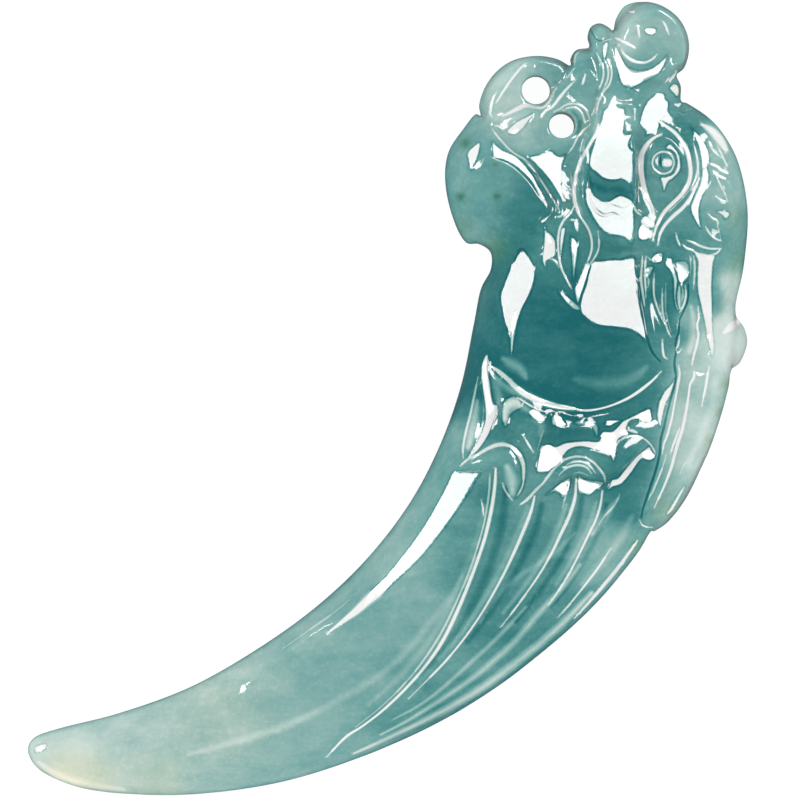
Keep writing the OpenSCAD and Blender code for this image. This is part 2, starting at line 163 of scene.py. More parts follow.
# Each form: rows of left edge X and Y, right edge X and Y, crown and how far each side is rounded;
# then the share of the crown that the left and the right edge have, and the fillet
forms = {
    "body": ([
        (15.8, 23.4, 20.6, 22.9, 4.4, 2.0, 2.0), (15.0, 22.0, 20.4, 21.9, 5.0, 2.2, 2.0),
        (13.4, 20.6, 20.7, 20.7, 5.6, 2.5, 2.2), (9.5, 18.9, 22.3, 19.7, 6.1, 3.5, 3.0),
        (6.2, 19.3, 23.4, 18.5, 6.5, 4.5, 3.6), (4.6, 17.8, 24.3, 16.9, 6.8, 4.5, 4.0),
        (4.0, 15.8, 24.9, 14.9, 6.9, 4.5, 4.2), (4.2, 13.9, 25.1, 12.8, 7.0, 4.5, 4.4),
        (4.8, 12.0, 25.0, 10.6, 7.1, 4.5, 4.4), (5.6, 10.9, 24.8, 9.0, 7.1, 4.5, 4.4),
        (7.1, 10.2, 24.6, 8.0, 7.1, 4.5, 4.2), (7.2, 9.1, 24.2, 6.9, 7.1, 4.7, 4.0),
        (6.6, 7.7, 23.6, 5.8, 7.2, 5.0, 3.6), (6.0, 5.1, 22.2, 3.0, 7.3, 5.2, 3.4),
        (5.1, 0.8, 21.4, -1.6, 7.3, 5.4, 3.2), (3.6, -3.4, 20.2, -6.6, 7.3, 5.6, 3.0),
        (1.5, -7.4, 17.4, -10.9, 7.2, 5.2, 3.0), (-1.5, -11.3, 13.4, -15.5, 6.9, 5.0, 3.0),
        (-5.1, -14.7, 7.2, -20.5, 6.5, 4.8, 3.2), (-9.3, -17.7, 0.6, -24.1, 6.0, 4.4, 3.2),
        (-13.9, -20.3, -7.1, -26.8, 5.3, 3.8, 3.0), (-18.8, -22.1, -14.6, -27.8, 4.5, 3.0, 2.6),
        (-23.1, -23.2, -21.2, -27.4, 3.7, 2.1, 2.0), (-24.8, -23.8, -24.1, -26.3, 3.2, 1.2, 1.2),
        (-25.3, -24.8, -25.2, -25.2, 2.8, 0.3, 0.3),
    ], 0.3, 0.6, 0.3),
    "fin": ([
        (21.0, 6.8, 24.4, 6.5, 4.6, 0.9, 2.0), (20.3, 3.7, 24.2, 3.4, 6.1, 0.9, 2.0),
        (20.2, 1.9, 24.0, 1.2, 6.6, 0.9, 2.0), (19.8, -0.2, 23.7, -0.7, 6.6, 0.9, 2.0),
        (19.1, -3.3, 22.3, -4.1, 6.3, 0.8, 1.7), (18.3, -6.4, 20.9, -7.0, 5.7, 0.7, 1.4),
        (17.8, -8.2, 19.7, -8.6, 5.0, 0.6, 1.0), (18.1, -9.1, 18.9, -9.3, 3.8, 0.4, 0.5),
    ], 0.84, 0.5, 0.12),
    "leaf": ([
        (7.3, 19.4, 7.5, 18.8, 3.4, 0.3, 0.3), (8.9, 20.2, 9.0, 17.4, 4.6, 0.9, 0.9),
        (10.6, 20.5, 11.6, 16.6, 5.0, 0.9, 0.9), (11.4, 21.2, 14.2, 18.2, 5.2, 0.9, 0.9),
        (12.2, 22.4, 14.9, 20.6, 5.2, 0.9, 0.9), (12.8, 23.4, 15.0, 22.6, 4.7, 0.7, 0.7),
        (12.9, 24.2, 14.8, 24.3, 3.8, 0.5, 0.5),
    ], 0.7, 0.8, 0.15),
    "stalk": ([
        (14.1, 25.4, 15.9, 25.7, 4.2, 0.7, 0.7), (14.1, 24.3, 16.5, 24.0, 4.9, 0.9, 0.9),
        (14.5, 22.5, 16.8, 22.6, 5.6, 0.9, 0.9), (14.6, 21.0, 17.2, 21.2, 6.1, 0.9, 0.9),
        (14.4, 19.6, 17.4, 19.8, 6.0, 0.9, 0.9),
    ], 0.6, 0.7, 0.2),
    "snout": ([
        (14.8, 21.8, 17.0, 21.8, 5.0, 0.9, 0.9), (14.4, 19.6, 17.2, 19.6, 6.5, 1.0, 1.0),
        (13.7, 17.4, 17.3, 17.4, 7.2, 1.0, 0.9), (13.3, 15.6, 17.3, 15.6, 7.4, 1.0, 0.8),
        (13.2, 14.0, 17.3, 14.0, 7.4, 1.0, 0.8), (13.9, 11.8, 17.3, 11.6, 7.5, 1.0, 0.8),
        (14.0, 10.2, 17.2, 10.0, 7.4, 1.0, 0.8), (13.9, 8.0, 17.5, 8.0, 7.6, 1.0, 0.9),
        (13.6, 6.0, 17.8, 5.4, 7.6, 1.0, 0.9), (13.8, 4.8, 18.0, 4.0, 6.8, 0.8, 0.8),
    ], 0.9, 0.92, 0.2),
    "scroll": ([
        (6.9, 3.2, 5.9, -0.8, 5.6, 0.5, 0.5), (7.6, 1.8, 6.0, -4.4, 6.8, 0.5, 0.5),
        (8.9, 0.9, 7.9, -6.0, 7.5, 0.5, 0.5), (10.6, -0.3, 10.0, -6.4, 7.7, 0.5, 0.5),
        (12.7, -0.8, 12.0, -5.6, 7.8, 0.5, 0.5), (14.8, -0.8, 15.0, -5.4, 7.8, 0.5, 0.5),
        (16.9, 0.0, 16.9, -4.6, 7.7, 0.5, 0.5), (18.3, 1.0, 18.5, -2.8, 7.4, 0.5, 0.5),
        (19.3, 2.0, 19.5, -0.6, 6.6, 0.4, 0.4),
    ], 0.9, 0.88, 0.15),
}

# Each boss: centre X and Y, half width, half length, height, rounded share, fillet
bosses = {
    "cordDisc": (10.2, 20.2, 3.85, 3.85, 3.5, 0.3, 0.15),
    "leafBump": (13.7, 23.7, 0.9, 0.9, 3.9, 0.9, 0.12),
    "stalkBump": (14.9, 25.3, 1.0, 1.0, 4.4, 0.9, 0.12),
    "crestCurl": (18.4, 24.7, 2.75, 3.15, 5.3, 0.36, 0.3),
    "nub": (20.0, 21.4, 0.7, 0.9, 4.6, 0.9, 0.2),
    "lobe": (22.6, 3.8, 2.6, 2.3, 3.4, 0.5, 0.3),
}

# Each plate, raised or sunk with a rounded shoulder: its edge, the lift and the shoulder's width
plates = {
    "eyeball": ([
        (19.2, 18.4), (19.9, 18.1), (20.5, 17.3), (20.8, 16.2), (20.8, 15.4), (20.4, 14.5), (19.6, 13.7),
        (18.8, 12.8), (18.3, 13.7), (17.95, 14.9), (17.9, 16.2), (18.1, 17.3), (18.6, 18.0),
    ], 0.25, 0.5),
    "lumpLeft": ([
        (7.9, -1.0), (8.0, -0.2), (8.8, 0.2), (9.5, -0.2), (10.4, -0.8), (11.15, -1.2), (11.0, -2.3),
        (10.5, -3.8), (10.1, -4.3), (9.4, -3.4), (8.7, -2.7), (8.1, -2.1),
    ], 0.3, 0.5),
    "lumpMiddle": ([
        (11.4, -1.2), (12.1, -1.2), (12.8, -1.6), (13.6, -1.4), (14.5, -1.6), (14.7, -2.5), (14.5, -3.0),
        (13.4, -3.0), (12.4, -3.1), (11.5, -3.4),
    ], 0.3, 0.5),
    "lumpRight": ([
        (15.0, -1.7), (15.4, -1.5), (16.3, -1.5), (15.9, -2.0), (15.5, -2.3), (15.0, -2.3),
    ], 0.2, 0.4),
    "claw": ([
        (4.9, -4.9), (5.6, -4.3), (6.4, -3.8), (7.3, -3.4), (8.0, -3.2), (8.8, -3.5), (9.3, -4.2),
        (9.4, -5.3), (9.2, -6.3), (8.7, -7.1), (8.2, -6.4), (7.8, -5.5), (7.5, -4.9), (7.0, -5.1),
        (6.3, -5.2), (5.2, -5.1),
    ], 0.4, 0.5),
    "cloud": ([
        (9.1, -7.5), (9.7, -6.9), (10.5, -6.1), (11.1, -5.4), (11.7, -4.7), (12.3, -4.2), (13.0, -4.0),
        (13.9, -4.1), (14.6, -4.7), (15.1, -5.4), (15.2, -5.9), (14.1, -5.8), (13.3, -5.4), (12.7, -5.5),
        (11.9, -6.0), (11.0, -6.7), (9.9, -7.2),
    ], 0.35, 0.4),
    "cloudCap": ([
        (12.0, -4.1), (12.6, -3.6), (13.2, -3.4), (13.9, -3.4), (14.7, -3.65), (15.3, -3.8), (15.6, -4.4),
        (15.5, -5.6), (15.2, -5.6), (14.8, -4.8), (14.0, -4.1), (13.0, -3.95),
    ], 0.2, 0.25),
    "lobeLow": ([
        (15.8, -4.6), (15.9, -3.5), (16.2, -2.9), (16.8, -2.65), (17.6, -2.65), (18.2, -3.1), (18.6, -3.8),
        (18.2, -3.4), (17.5, -3.9), (16.7, -4.8), (15.9, -5.5),
    ], 0.3, 0.35),
    "lobeHigh": ([
        (16.6, -2.3), (16.8, -1.7), (17.4, -1.5), (18.2, -1.6), (18.8, -1.7), (19.0, -2.2), (18.7, -3.0),
        (18.2, -2.9), (17.5, -2.6),
    ], 0.3, 0.35),
}

# Each facet, a flat polished cut: its edge, the bearing it faces, its lean, how firmly it is held and,
# for a small one, how much paler it is painted, a painted highlight standing in for its lamp reflection; one
# that hardly leans, or leans away, keeps the stone quiet
facets = {
    "snoutTop": ([
        (15.0, 19.95), (15.3, 20.15), (15.8, 20.0), (16.45, 20.2), (16.45, 19.5), (16.4, 18.9),
        (16.45, 18.3), (17.0, 18.4), (16.85, 18.0), (16.75, 17.5), (17.15, 17.1), (17.2, 16.2), (17.2, 15.0),
        (17.27, 14.2), (17.33, 13.6), (17.15, 13.7), (17.08, 14.5), (16.85, 14.95), (16.45, 15.2),
        (16.2, 15.35), (15.9, 15.18), (15.4, 15.18), (14.9, 15.35), (14.5, 15.7), (14.05, 16.1),
        (14.1, 16.9), (14.35, 17.6), (14.65, 18.3), (14.85, 19.1),
    ], 32, 19, 30),
    "muzzle": ([
        (13.98, 15.8), (13.92, 15.2), (13.8, 14.6), (13.75, 14.1), (13.82, 13.5), (14.05, 13.0),
        (14.4, 12.35), (14.8, 11.8), (15.3, 11.4), (16.0, 11.3), (16.5, 11.15), (16.9, 10.82), (17.1, 11.05),
        (17.15, 12.0), (17.1, 13.2), (17.0, 13.75), (16.5, 14.05), (16.1, 14.1), (15.6, 13.75), (15.1, 13.6),
        (14.6, 13.75), (14.25, 14.3), (14.08, 15.0),
    ], 32, 19, 30),
    "chin": ([
        (14.3, 9.5), (15.0, 9.55), (15.6, 9.65), (16.3, 9.65), (17.1, 9.85), (17.2, 9.2), (17.25, 8.3),
        (17.35, 7.3), (17.55, 6.3), (17.75, 5.4), (17.9, 4.6), (17.97, 3.95), (17.6, 4.3), (17.1, 4.65),
        (16.4, 4.85), (15.5, 4.95), (14.6, 5.05), (14.0, 5.3), (13.5, 5.8), (13.35, 6.3), (13.5, 7.0),
        (13.8, 7.9), (14.0, 8.8),
    ], 32, 19, 30),
    "cheekStrip": ([
        (13.7, 9.0), (14.05, 9.2), (13.85, 8.5), (13.6, 7.7), (13.35, 6.9), (13.2, 6.6), (13.05, 7.1),
        (13.0, 7.7), (13.35, 8.1),
    ], 32, 15, 6, 0.9),
    "cheekCut": ([
        (9.85, 16.8), (10.6, 16.9), (11.0, 17.0), (11.35, 17.25), (11.75, 16.9), (12.1, 16.85), (12.4, 17.0),
        (12.15, 16.4), (12.05, 15.7), (12.05, 14.9), (12.1, 14.3), (12.38, 13.65), (12.0, 14.05),
        (11.6, 14.7), (11.2, 15.3), (10.75, 15.9), (10.3, 16.4),
    ], 32, 19, 30, 0.3),
    "lumpStripe": ([
        (7.3, 17.85), (7.7, 17.45), (8.3, 17.1), (8.95, 16.8), (9.4, 16.4), (9.8, 15.9), (10.25, 15.2),
        (10.6, 14.5), (10.95, 13.85), (10.7, 13.95), (10.35, 14.6), (9.95, 15.2), (9.4, 15.75), (8.8, 16.25),
        (8.1, 16.6), (7.5, 16.8), (7.3, 17.2),
    ], 38, 19, 30, 0.5),
    "lumpSpark": ([
        (6.38, 17.8), (6.33, 17.1), (6.1, 16.5), (5.77, 15.95), (5.66, 16.5), (5.56, 17.0), (5.8, 17.4),
    ], 299, 30, 2, 1.1),
    "leafStripe": ([
        (8.35, 18.6), (8.6, 18.44), (9.0, 18.5), (9.4, 18.85), (9.75, 19.3), (10.15, 19.85), (9.65, 19.62),
        (9.1, 19.33), (8.7, 19.03),
    ], 32, 19, 12, 1.0),
    "crescent": ([
        (15.82, 24.6), (15.85, 23.9), (16.05, 23.1), (16.15, 22.4), (16.45, 21.85), (16.95, 21.64),
        (17.5, 21.9), (18.2, 22.28), (18.9, 22.7), (19.3, 23.3), (19.52, 23.9), (19.1, 23.5), (18.6, 23.1),
        (18.1, 22.9), (17.5, 22.83), (17.0, 22.95), (16.6, 23.2), (16.35, 23.7), (16.05, 24.2),
    ], 25, 19, 30, 0.4),
    "curlSpark": ([
        (18.02, 25.8), (18.7, 25.78), (18.55, 25.42), (18.3, 25.35), (17.98, 25.5),
    ], 32, 19, 10, 0.8),
    "stalkSpark": ([
        (15.02, 24.6), (15.35, 24.85), (15.33, 24.4), (15.22, 23.9), (15.1, 23.55), (15.02, 24.0),
    ], 32, 19, 6, 0.9),
    "nubSpark": ([
        (19.7, 21.65), (20.0, 21.95), (20.28, 21.8), (20.35, 21.35), (20.2, 21.08), (19.95, 21.3),
    ], 32, 19, 4, 0.9),
    "browCut": ([
        (18.0, 18.3), (18.55, 18.65), (18.9, 18.95), (18.85, 19.35), (19.15, 19.62), (19.42, 19.7),
        (19.45, 20.1), (19.6, 20.65), (19.35, 20.8), (19.28, 21.2), (18.9, 21.22), (18.45, 21.0),
        (18.1, 20.6), (17.8, 20.0), (17.66, 19.3), (17.75, 18.85), (18.02, 18.62),
    ], 32, 19, 30),
    "eyeFold": ([
        (21.15, 18.85), (21.5, 18.5), (21.9, 18.0), (22.25, 17.4), (22.4, 16.8), (22.33, 16.4),
        (22.22, 16.1), (22.35, 15.5), (22.25, 14.9), (22.0, 14.3), (21.75, 13.7), (21.65, 13.1),
        (21.7, 12.4), (21.8, 11.8), (21.5, 12.2), (21.2, 12.8), (21.1, 13.2), (21.18, 13.7), (21.5, 14.4),
        (21.78, 15.1), (21.88, 15.9), (21.83, 16.9), (21.68, 17.6), (21.42, 18.3),
    ], 36, 19, 20, 0.5),
    "eyePlate": ([
        (19.2, 18.2), (19.8, 18.0), (20.4, 17.2), (20.7, 16.2), (20.7, 15.4), (20.3, 14.5), (19.5, 13.7),
        (18.8, 12.95), (18.35, 13.8), (18.05, 14.9), (18.0, 16.2), (18.2, 17.2), (18.7, 17.9),
    ], 212, 4, 14),
    "pupilGlint": ([
        (19.65, 17.7), (20.0, 17.4), (20.3, 16.9), (20.4, 16.2), (20.3, 15.8), (19.9, 15.35), (19.5, 15.05),
        (19.25, 14.45), (19.12, 15.0), (19.02, 15.35), (19.4, 15.42), (19.85, 15.6), (20.1, 16.0),
        (20.18, 16.5), (20.05, 17.0), (19.75, 17.3), (19.38, 17.42),
    ], 32, 10, 1, 1.2),
    "tearHigh": ([
        (17.85, 12.6), (18.0, 12.68), (18.3, 12.35), (18.6, 12.18), (18.4, 12.02), (18.05, 12.1),
        (17.85, 12.3),
    ], 32, 19, 6, 0.7),
    "tearLow": ([
        (17.5, 11.85), (17.75, 12.08), (18.0, 11.85), (18.3, 11.65), (18.2, 11.3), (18.0, 11.05),
        (17.72, 11.0), (17.5, 11.15), (17.46, 11.5),
    ], 32, 19, 6, 0.7),
    "maneStripe": ([
        (21.35, 10.15), (21.9, 10.0), (22.5, 9.95), (22.78, 9.85), (22.65, 9.4), (22.58, 8.5), (22.55, 7.5),
        (22.6, 6.5), (22.6, 5.5), (22.65, 4.5), (22.72, 3.7), (22.6, 2.9), (22.45, 3.5), (22.3, 4.2),
        (22.1, 5.2), (21.82, 6.4), (21.6, 7.4), (21.55, 8.5), (21.6, 9.5),
    ], 45, 19, 4, 1.0),
    "tuftPatch": ([
        (22.9, 13.0), (23.3, 13.05), (23.75, 12.95), (23.75, 12.65), (23.5, 12.5), (23.35, 12.72),
        (23.1, 12.88),
    ], 36, 19, 3, 0.7),
    "beardTop": ([(18.35, 9.5), (18.6, 10.0), (19.1, 10.1), (19.05, 9.55), (18.7, 9.4)], 32, 19, 3, 0.6),
    "beardCorner": ([(18.0, 9.05), (18.5, 9.15), (18.38, 8.85), (18.15, 8.4), (18.0, 8.35)], 32, 19, 3, 0.6),
    "dropCrescent": ([
        (19.3, 9.35), (19.55, 9.72), (19.8, 9.7), (19.78, 9.3), (20.0, 8.8), (20.15, 8.2), (20.1, 7.6),
        (20.05, 7.0), (20.12, 6.5), (20.3, 5.95), (20.05, 6.3), (19.92, 7.0), (19.9, 7.8), (19.85, 8.4),
        (19.65, 8.9),
    ], 40, 19, 3, 0.8),
    "shell": ([
        (20.02, 9.4), (20.4, 9.52), (20.8, 9.45), (20.95, 9.1), (20.95, 8.6), (20.75, 8.2), (20.4, 8.0),
        (20.25, 8.2), (20.15, 8.9),
    ], 32, 13, 3, 0.4),
    "strap": ([
        (6.95, 3.0), (7.0, 2.5), (6.97, 1.9), (7.1, 1.1), (7.2, 0.3), (7.35, -0.4), (7.65, -0.55),
        (7.5, -1.3), (7.2, -2.1), (6.8, -2.9), (6.2, -3.7), (5.55, -4.2), (5.9, -3.6), (6.3, -2.9),
        (6.62, -2.1), (6.8, -1.4), (6.75, -0.4), (6.6, 0.6), (6.5, 1.6), (6.55, 2.3), (6.75, 2.9),
    ], 40, 19, 12, 1.4),
    "lumpGlint": ([
        (8.1, -0.3), (8.4, 0.0), (8.9, 0.1), (9.2, -0.2), (9.3, -0.65), (8.8, -0.9), (8.5, -1.2),
        (8.32, -1.8), (8.15, -1.98), (7.95, -1.5), (7.97, -0.8),
    ], 32, 19, 4, 0.45),
    "lumpNotch": ([
        (9.8, -1.0), (10.1, -0.78), (10.6, -1.05), (11.05, -1.25), (10.9, -1.5), (10.5, -1.65), (10.1, -1.4),
    ], 32, 16, 4, 0.7),
    "middleGlint": ([
        (11.45, -1.3), (12.0, -1.25), (12.2, -1.6), (12.4, -1.9), (11.8, -1.95), (11.45, -1.8),
    ], 32, 19, 6, 0.6),
    "middleEdge": ([
        (13.0, -1.75), (13.4, -1.5), (13.9, -1.6), (14.4, -1.7), (14.62, -2.2), (14.5, -2.7), (14.2, -2.0),
        (13.6, -1.9),
    ], 32, 14, 2, 0.4),
    "rightGlint": ([
        (15.1, -1.9), (15.3, -1.6), (15.9, -1.55), (16.2, -1.6), (15.7, -1.8), (15.4, -1.95),
    ], 32, 19, 4, 0.6),
    "clawBack": ([
        (8.3, -3.2), (8.9, -3.45), (9.3, -3.85), (9.56, -4.5), (9.57, -5.2), (9.5, -5.9), (9.3, -6.5),
        (8.85, -7.0), (9.15, -6.4), (9.33, -5.9), (9.3, -5.0), (9.17, -4.4), (8.9, -3.95), (8.55, -3.5),
    ], 45, 19, 6, 0.8),
    "recess": ([
        (10.9, -3.3), (11.3, -3.25), (11.7, -3.4), (12.3, -3.15), (13.0, -3.05), (13.8, -3.0), (14.6, -3.05),
        (14.8, -2.8), (14.95, -2.35), (15.6, -2.35), (16.0, -2.0), (16.4, -1.6), (17.0, -1.3), (17.6, -1.0),
        (18.2, -0.75), (18.3, -1.1), (18.35, -1.55), (17.9, -1.55), (17.3, -1.45), (16.8, -1.65),
        (16.6, -2.1), (16.75, -2.5), (16.35, -2.65), (16.0, -2.9), (15.88, -3.4), (15.8, -4.0),
        (15.68, -4.35), (15.5, -4.0), (15.2, -3.8), (14.5, -3.62), (13.8, -3.42), (13.2, -3.38),
        (12.6, -3.58), (12.2, -4.0), (11.9, -4.5), (11.4, -4.9), (11.1, -5.12), (10.4, -5.12), (10.42, -4.6),
        (10.55, -4.0),
    ], 20, 19, 20, 1.4),
    "underCloudLeft": ([
        (11.0, -6.75), (11.5, -6.35), (12.1, -5.85), (12.6, -5.57), (12.7, -5.8), (12.5, -6.4),
        (12.2, -6.95), (12.0, -6.7), (11.6, -6.5),
    ], 32, 19, 20, 0.5),
    "underCloudRight": ([
        (13.25, -5.42), (13.6, -5.65), (14.2, -5.75), (15.05, -5.88), (14.7, -6.18), (14.3, -6.5),
        (14.0, -6.75), (13.6, -6.65), (13.25, -6.5),
    ], 32, 19, 20, 0.5),
    "recessStrip": ([
        (15.6, -5.7), (16.0, -5.6), (16.5, -5.0), (17.0, -4.4), (17.5, -3.9), (17.9, -3.6), (18.2, -3.4),
        (18.4, -3.75), (18.6, -4.0), (18.35, -4.3), (18.0, -4.3), (17.7, -4.2), (17.4, -4.5), (17.0, -5.1),
        (16.6, -5.6), (16.2, -6.0), (15.6, -6.2), (15.25, -6.48), (15.45, -6.05),
    ], 20, 19, 12, 1.4),
    "finLeaf": ([
        (19.98, 1.3), (19.85, 0.8), (19.6, 0.1), (19.38, -0.3), (19.2, -0.9), (19.07, -1.5), (18.98, -2.0),
        (18.8, -1.6), (18.76, -1.2), (18.8, -0.8), (18.88, -0.3), (19.02, 0.0), (19.3, 0.5), (19.7, 0.9),
    ], 40, 19, 10, 1.1),
    "finGlint": ([
        (20.72, -6.15), (20.55, -6.3), (20.15, -6.9), (19.75, -7.6), (19.45, -8.1), (19.65, -8.08),
        (20.0, -7.65), (20.35, -7.0), (20.65, -6.4),
    ], 122, 38, 10, 1.0),
    "fangCut": ([
        (10.95, 12.1), (11.05, 11.6), (11.3, 11.45), (11.62, 11.0), (11.68, 10.5), (11.65, 9.95),
        (11.3, 9.72), (11.0, 9.5), (11.0, 9.1), (10.8, 9.4), (10.76, 9.9), (10.86, 10.6), (10.9, 11.3),
    ], 32, 15, 6, 1.1),
    "fangPale": ([
        (12.1, 11.8), (12.35, 11.85), (12.3, 11.4), (12.2, 10.8), (12.1, 10.2), (12.02, 9.7), (11.97, 10.5),
        (12.0, 11.3),
    ], 32, 19, 6, 1.2),
    "fangMiddle": ([
        (12.75, 11.18), (12.97, 11.12), (13.12, 10.85), (13.2, 10.4), (13.15, 9.8), (13.05, 9.1),
        (12.98, 8.4), (12.88, 8.4), (12.85, 9.2), (12.77, 10.0), (12.72, 10.6),
    ], 32, 19, 12, 0.7),
    "fangRim": ([
        (11.88, 7.5), (12.3, 7.2), (12.8, 6.8), (13.2, 6.45), (13.4, 6.22), (13.25, 6.1), (12.9, 6.2),
        (12.5, 6.55), (12.1, 7.05),
    ], 32, 19, 10, 0.7),
    "neckAlmond": ([
        (9.3, 10.4), (9.7, 10.0), (10.05, 9.4), (10.2, 8.75), (10.2, 8.1), (10.0, 7.5), (9.7, 6.9),
        (9.3, 6.1), (9.0, 5.1), (8.78, 4.1), (8.6, 3.2), (8.5, 4.0), (8.2, 5.3), (7.82, 7.0), (8.05, 7.8),
        (8.5, 8.9), (8.9, 9.7),
    ], 299, 36, 14),
    "flankTop": ([
        (6.35, -5.2), (6.1, -5.74), (5.27, -7.14), (4.3, -8.54), (3.25, -9.94), (2.05, -11.34), (0.6, -12.7),
        (-0.15, -13.35), (-0.6, -13.65), (-1.1, -13.5), (-0.35, -12.74), (0.82, -11.34), (1.87, -9.94),
        (2.8, -8.54), (3.6, -7.14), (4.3, -5.74), (4.65, -5.15),
    ], 299, 36, 5),
    "tipGlint": ([
        (-24.75, -24.5), (-24.3, -24.3), (-23.95, -24.25), (-24.0, -24.55), (-24.6, -24.85),
    ], 305, 36, 2, 0.6),
    "stalkHold": ([
        (15.65, 24.4), (16.0, 23.2), (16.0, 22.2), (15.6, 21.6), (14.95, 21.2), (14.6, 22.0), (14.8, 23.0),
        (15.0, 23.5), (15.25, 23.9),
    ], 300, 6, 8),
    "bridgeHold": ([
        (16.0, 20.8), (17.2, 20.7), (17.5, 21.2), (16.9, 21.5), (16.3, 21.6), (16.0, 21.3),
    ], 212, 5, 4),
    "ridgeHold": ([
        (16.6, 20.3), (17.35, 20.3), (17.4, 18.8), (17.3, 18.3), (17.0, 18.6), (16.6, 18.6),
    ], 120, 5, 8),
    "curlHold": ([
        (18.9, 27.15), (19.95, 26.45), (20.55, 25.45), (20.75, 24.4), (20.6, 23.4), (20.0, 23.4),
        (19.85, 24.4), (19.6, 25.2), (19.05, 25.9), (18.6, 26.3),
    ], 212, 4, 6),
    "discHold": ([
        (10.4, 23.6), (11.7, 23.4), (12.5, 23.0), (12.3, 22.2), (11.8, 22.1), (11.2, 22.5), (10.5, 22.7),
    ], 212, 4, 10),
    "tailHold": ([
        (-3.6, -15.6), (-3.2, -15.9), (-4.2, -17.0), (-5.9, -18.4), (-8.0, -19.6), (-9.6, -20.2),
        (-9.8, -19.9), (-8.3, -18.8), (-6.8, -17.6), (-5.4, -16.5), (-4.4, -15.85),
    ], 119, -27, 3),
    "leafHold": ([
        (12.7, 21.1), (13.2, 20.95), (14.3, 21.0), (14.5, 22.0), (14.2, 22.9), (13.6, 22.8), (12.95, 22.0),
    ], 300, 6, 10),
    "tuftHold": ([
        (22.5, 16.9), (23.2, 16.9), (23.9, 15.5), (23.9, 13.8), (23.6, 12.2), (22.9, 11.6), (22.2, 12.2),
        (22.05, 13.0), (22.35, 14.2), (22.65, 15.3),
    ], 100, 7, 8),
    "noseHold": ([
        (17.42, 15.0), (17.62, 14.6), (17.85, 13.8), (18.2, 12.95), (17.85, 12.85), (17.5, 13.1),
        (17.4, 13.8),
    ], 270, 6, 8),
    "finHold": ([
        (21.3, 4.6), (21.9, 4.7), (22.1, 3.9), (22.2, 2.9), (22.2, 1.9), (21.5, 1.8), (21.25, 3.0),
    ], 100, 6, 10),
    "lumpFace": ([
        (6.7, 16.8), (7.4, 16.7), (8.1, 16.45), (8.8, 16.05), (9.35, 15.55), (9.9, 14.95), (10.35, 14.25),
        (10.7, 13.5), (10.5, 12.5), (9.5, 12.0), (8.3, 12.5), (7.3, 13.2), (6.7, 14.3), (6.5, 15.6),
    ], 235, 4, 12),
}
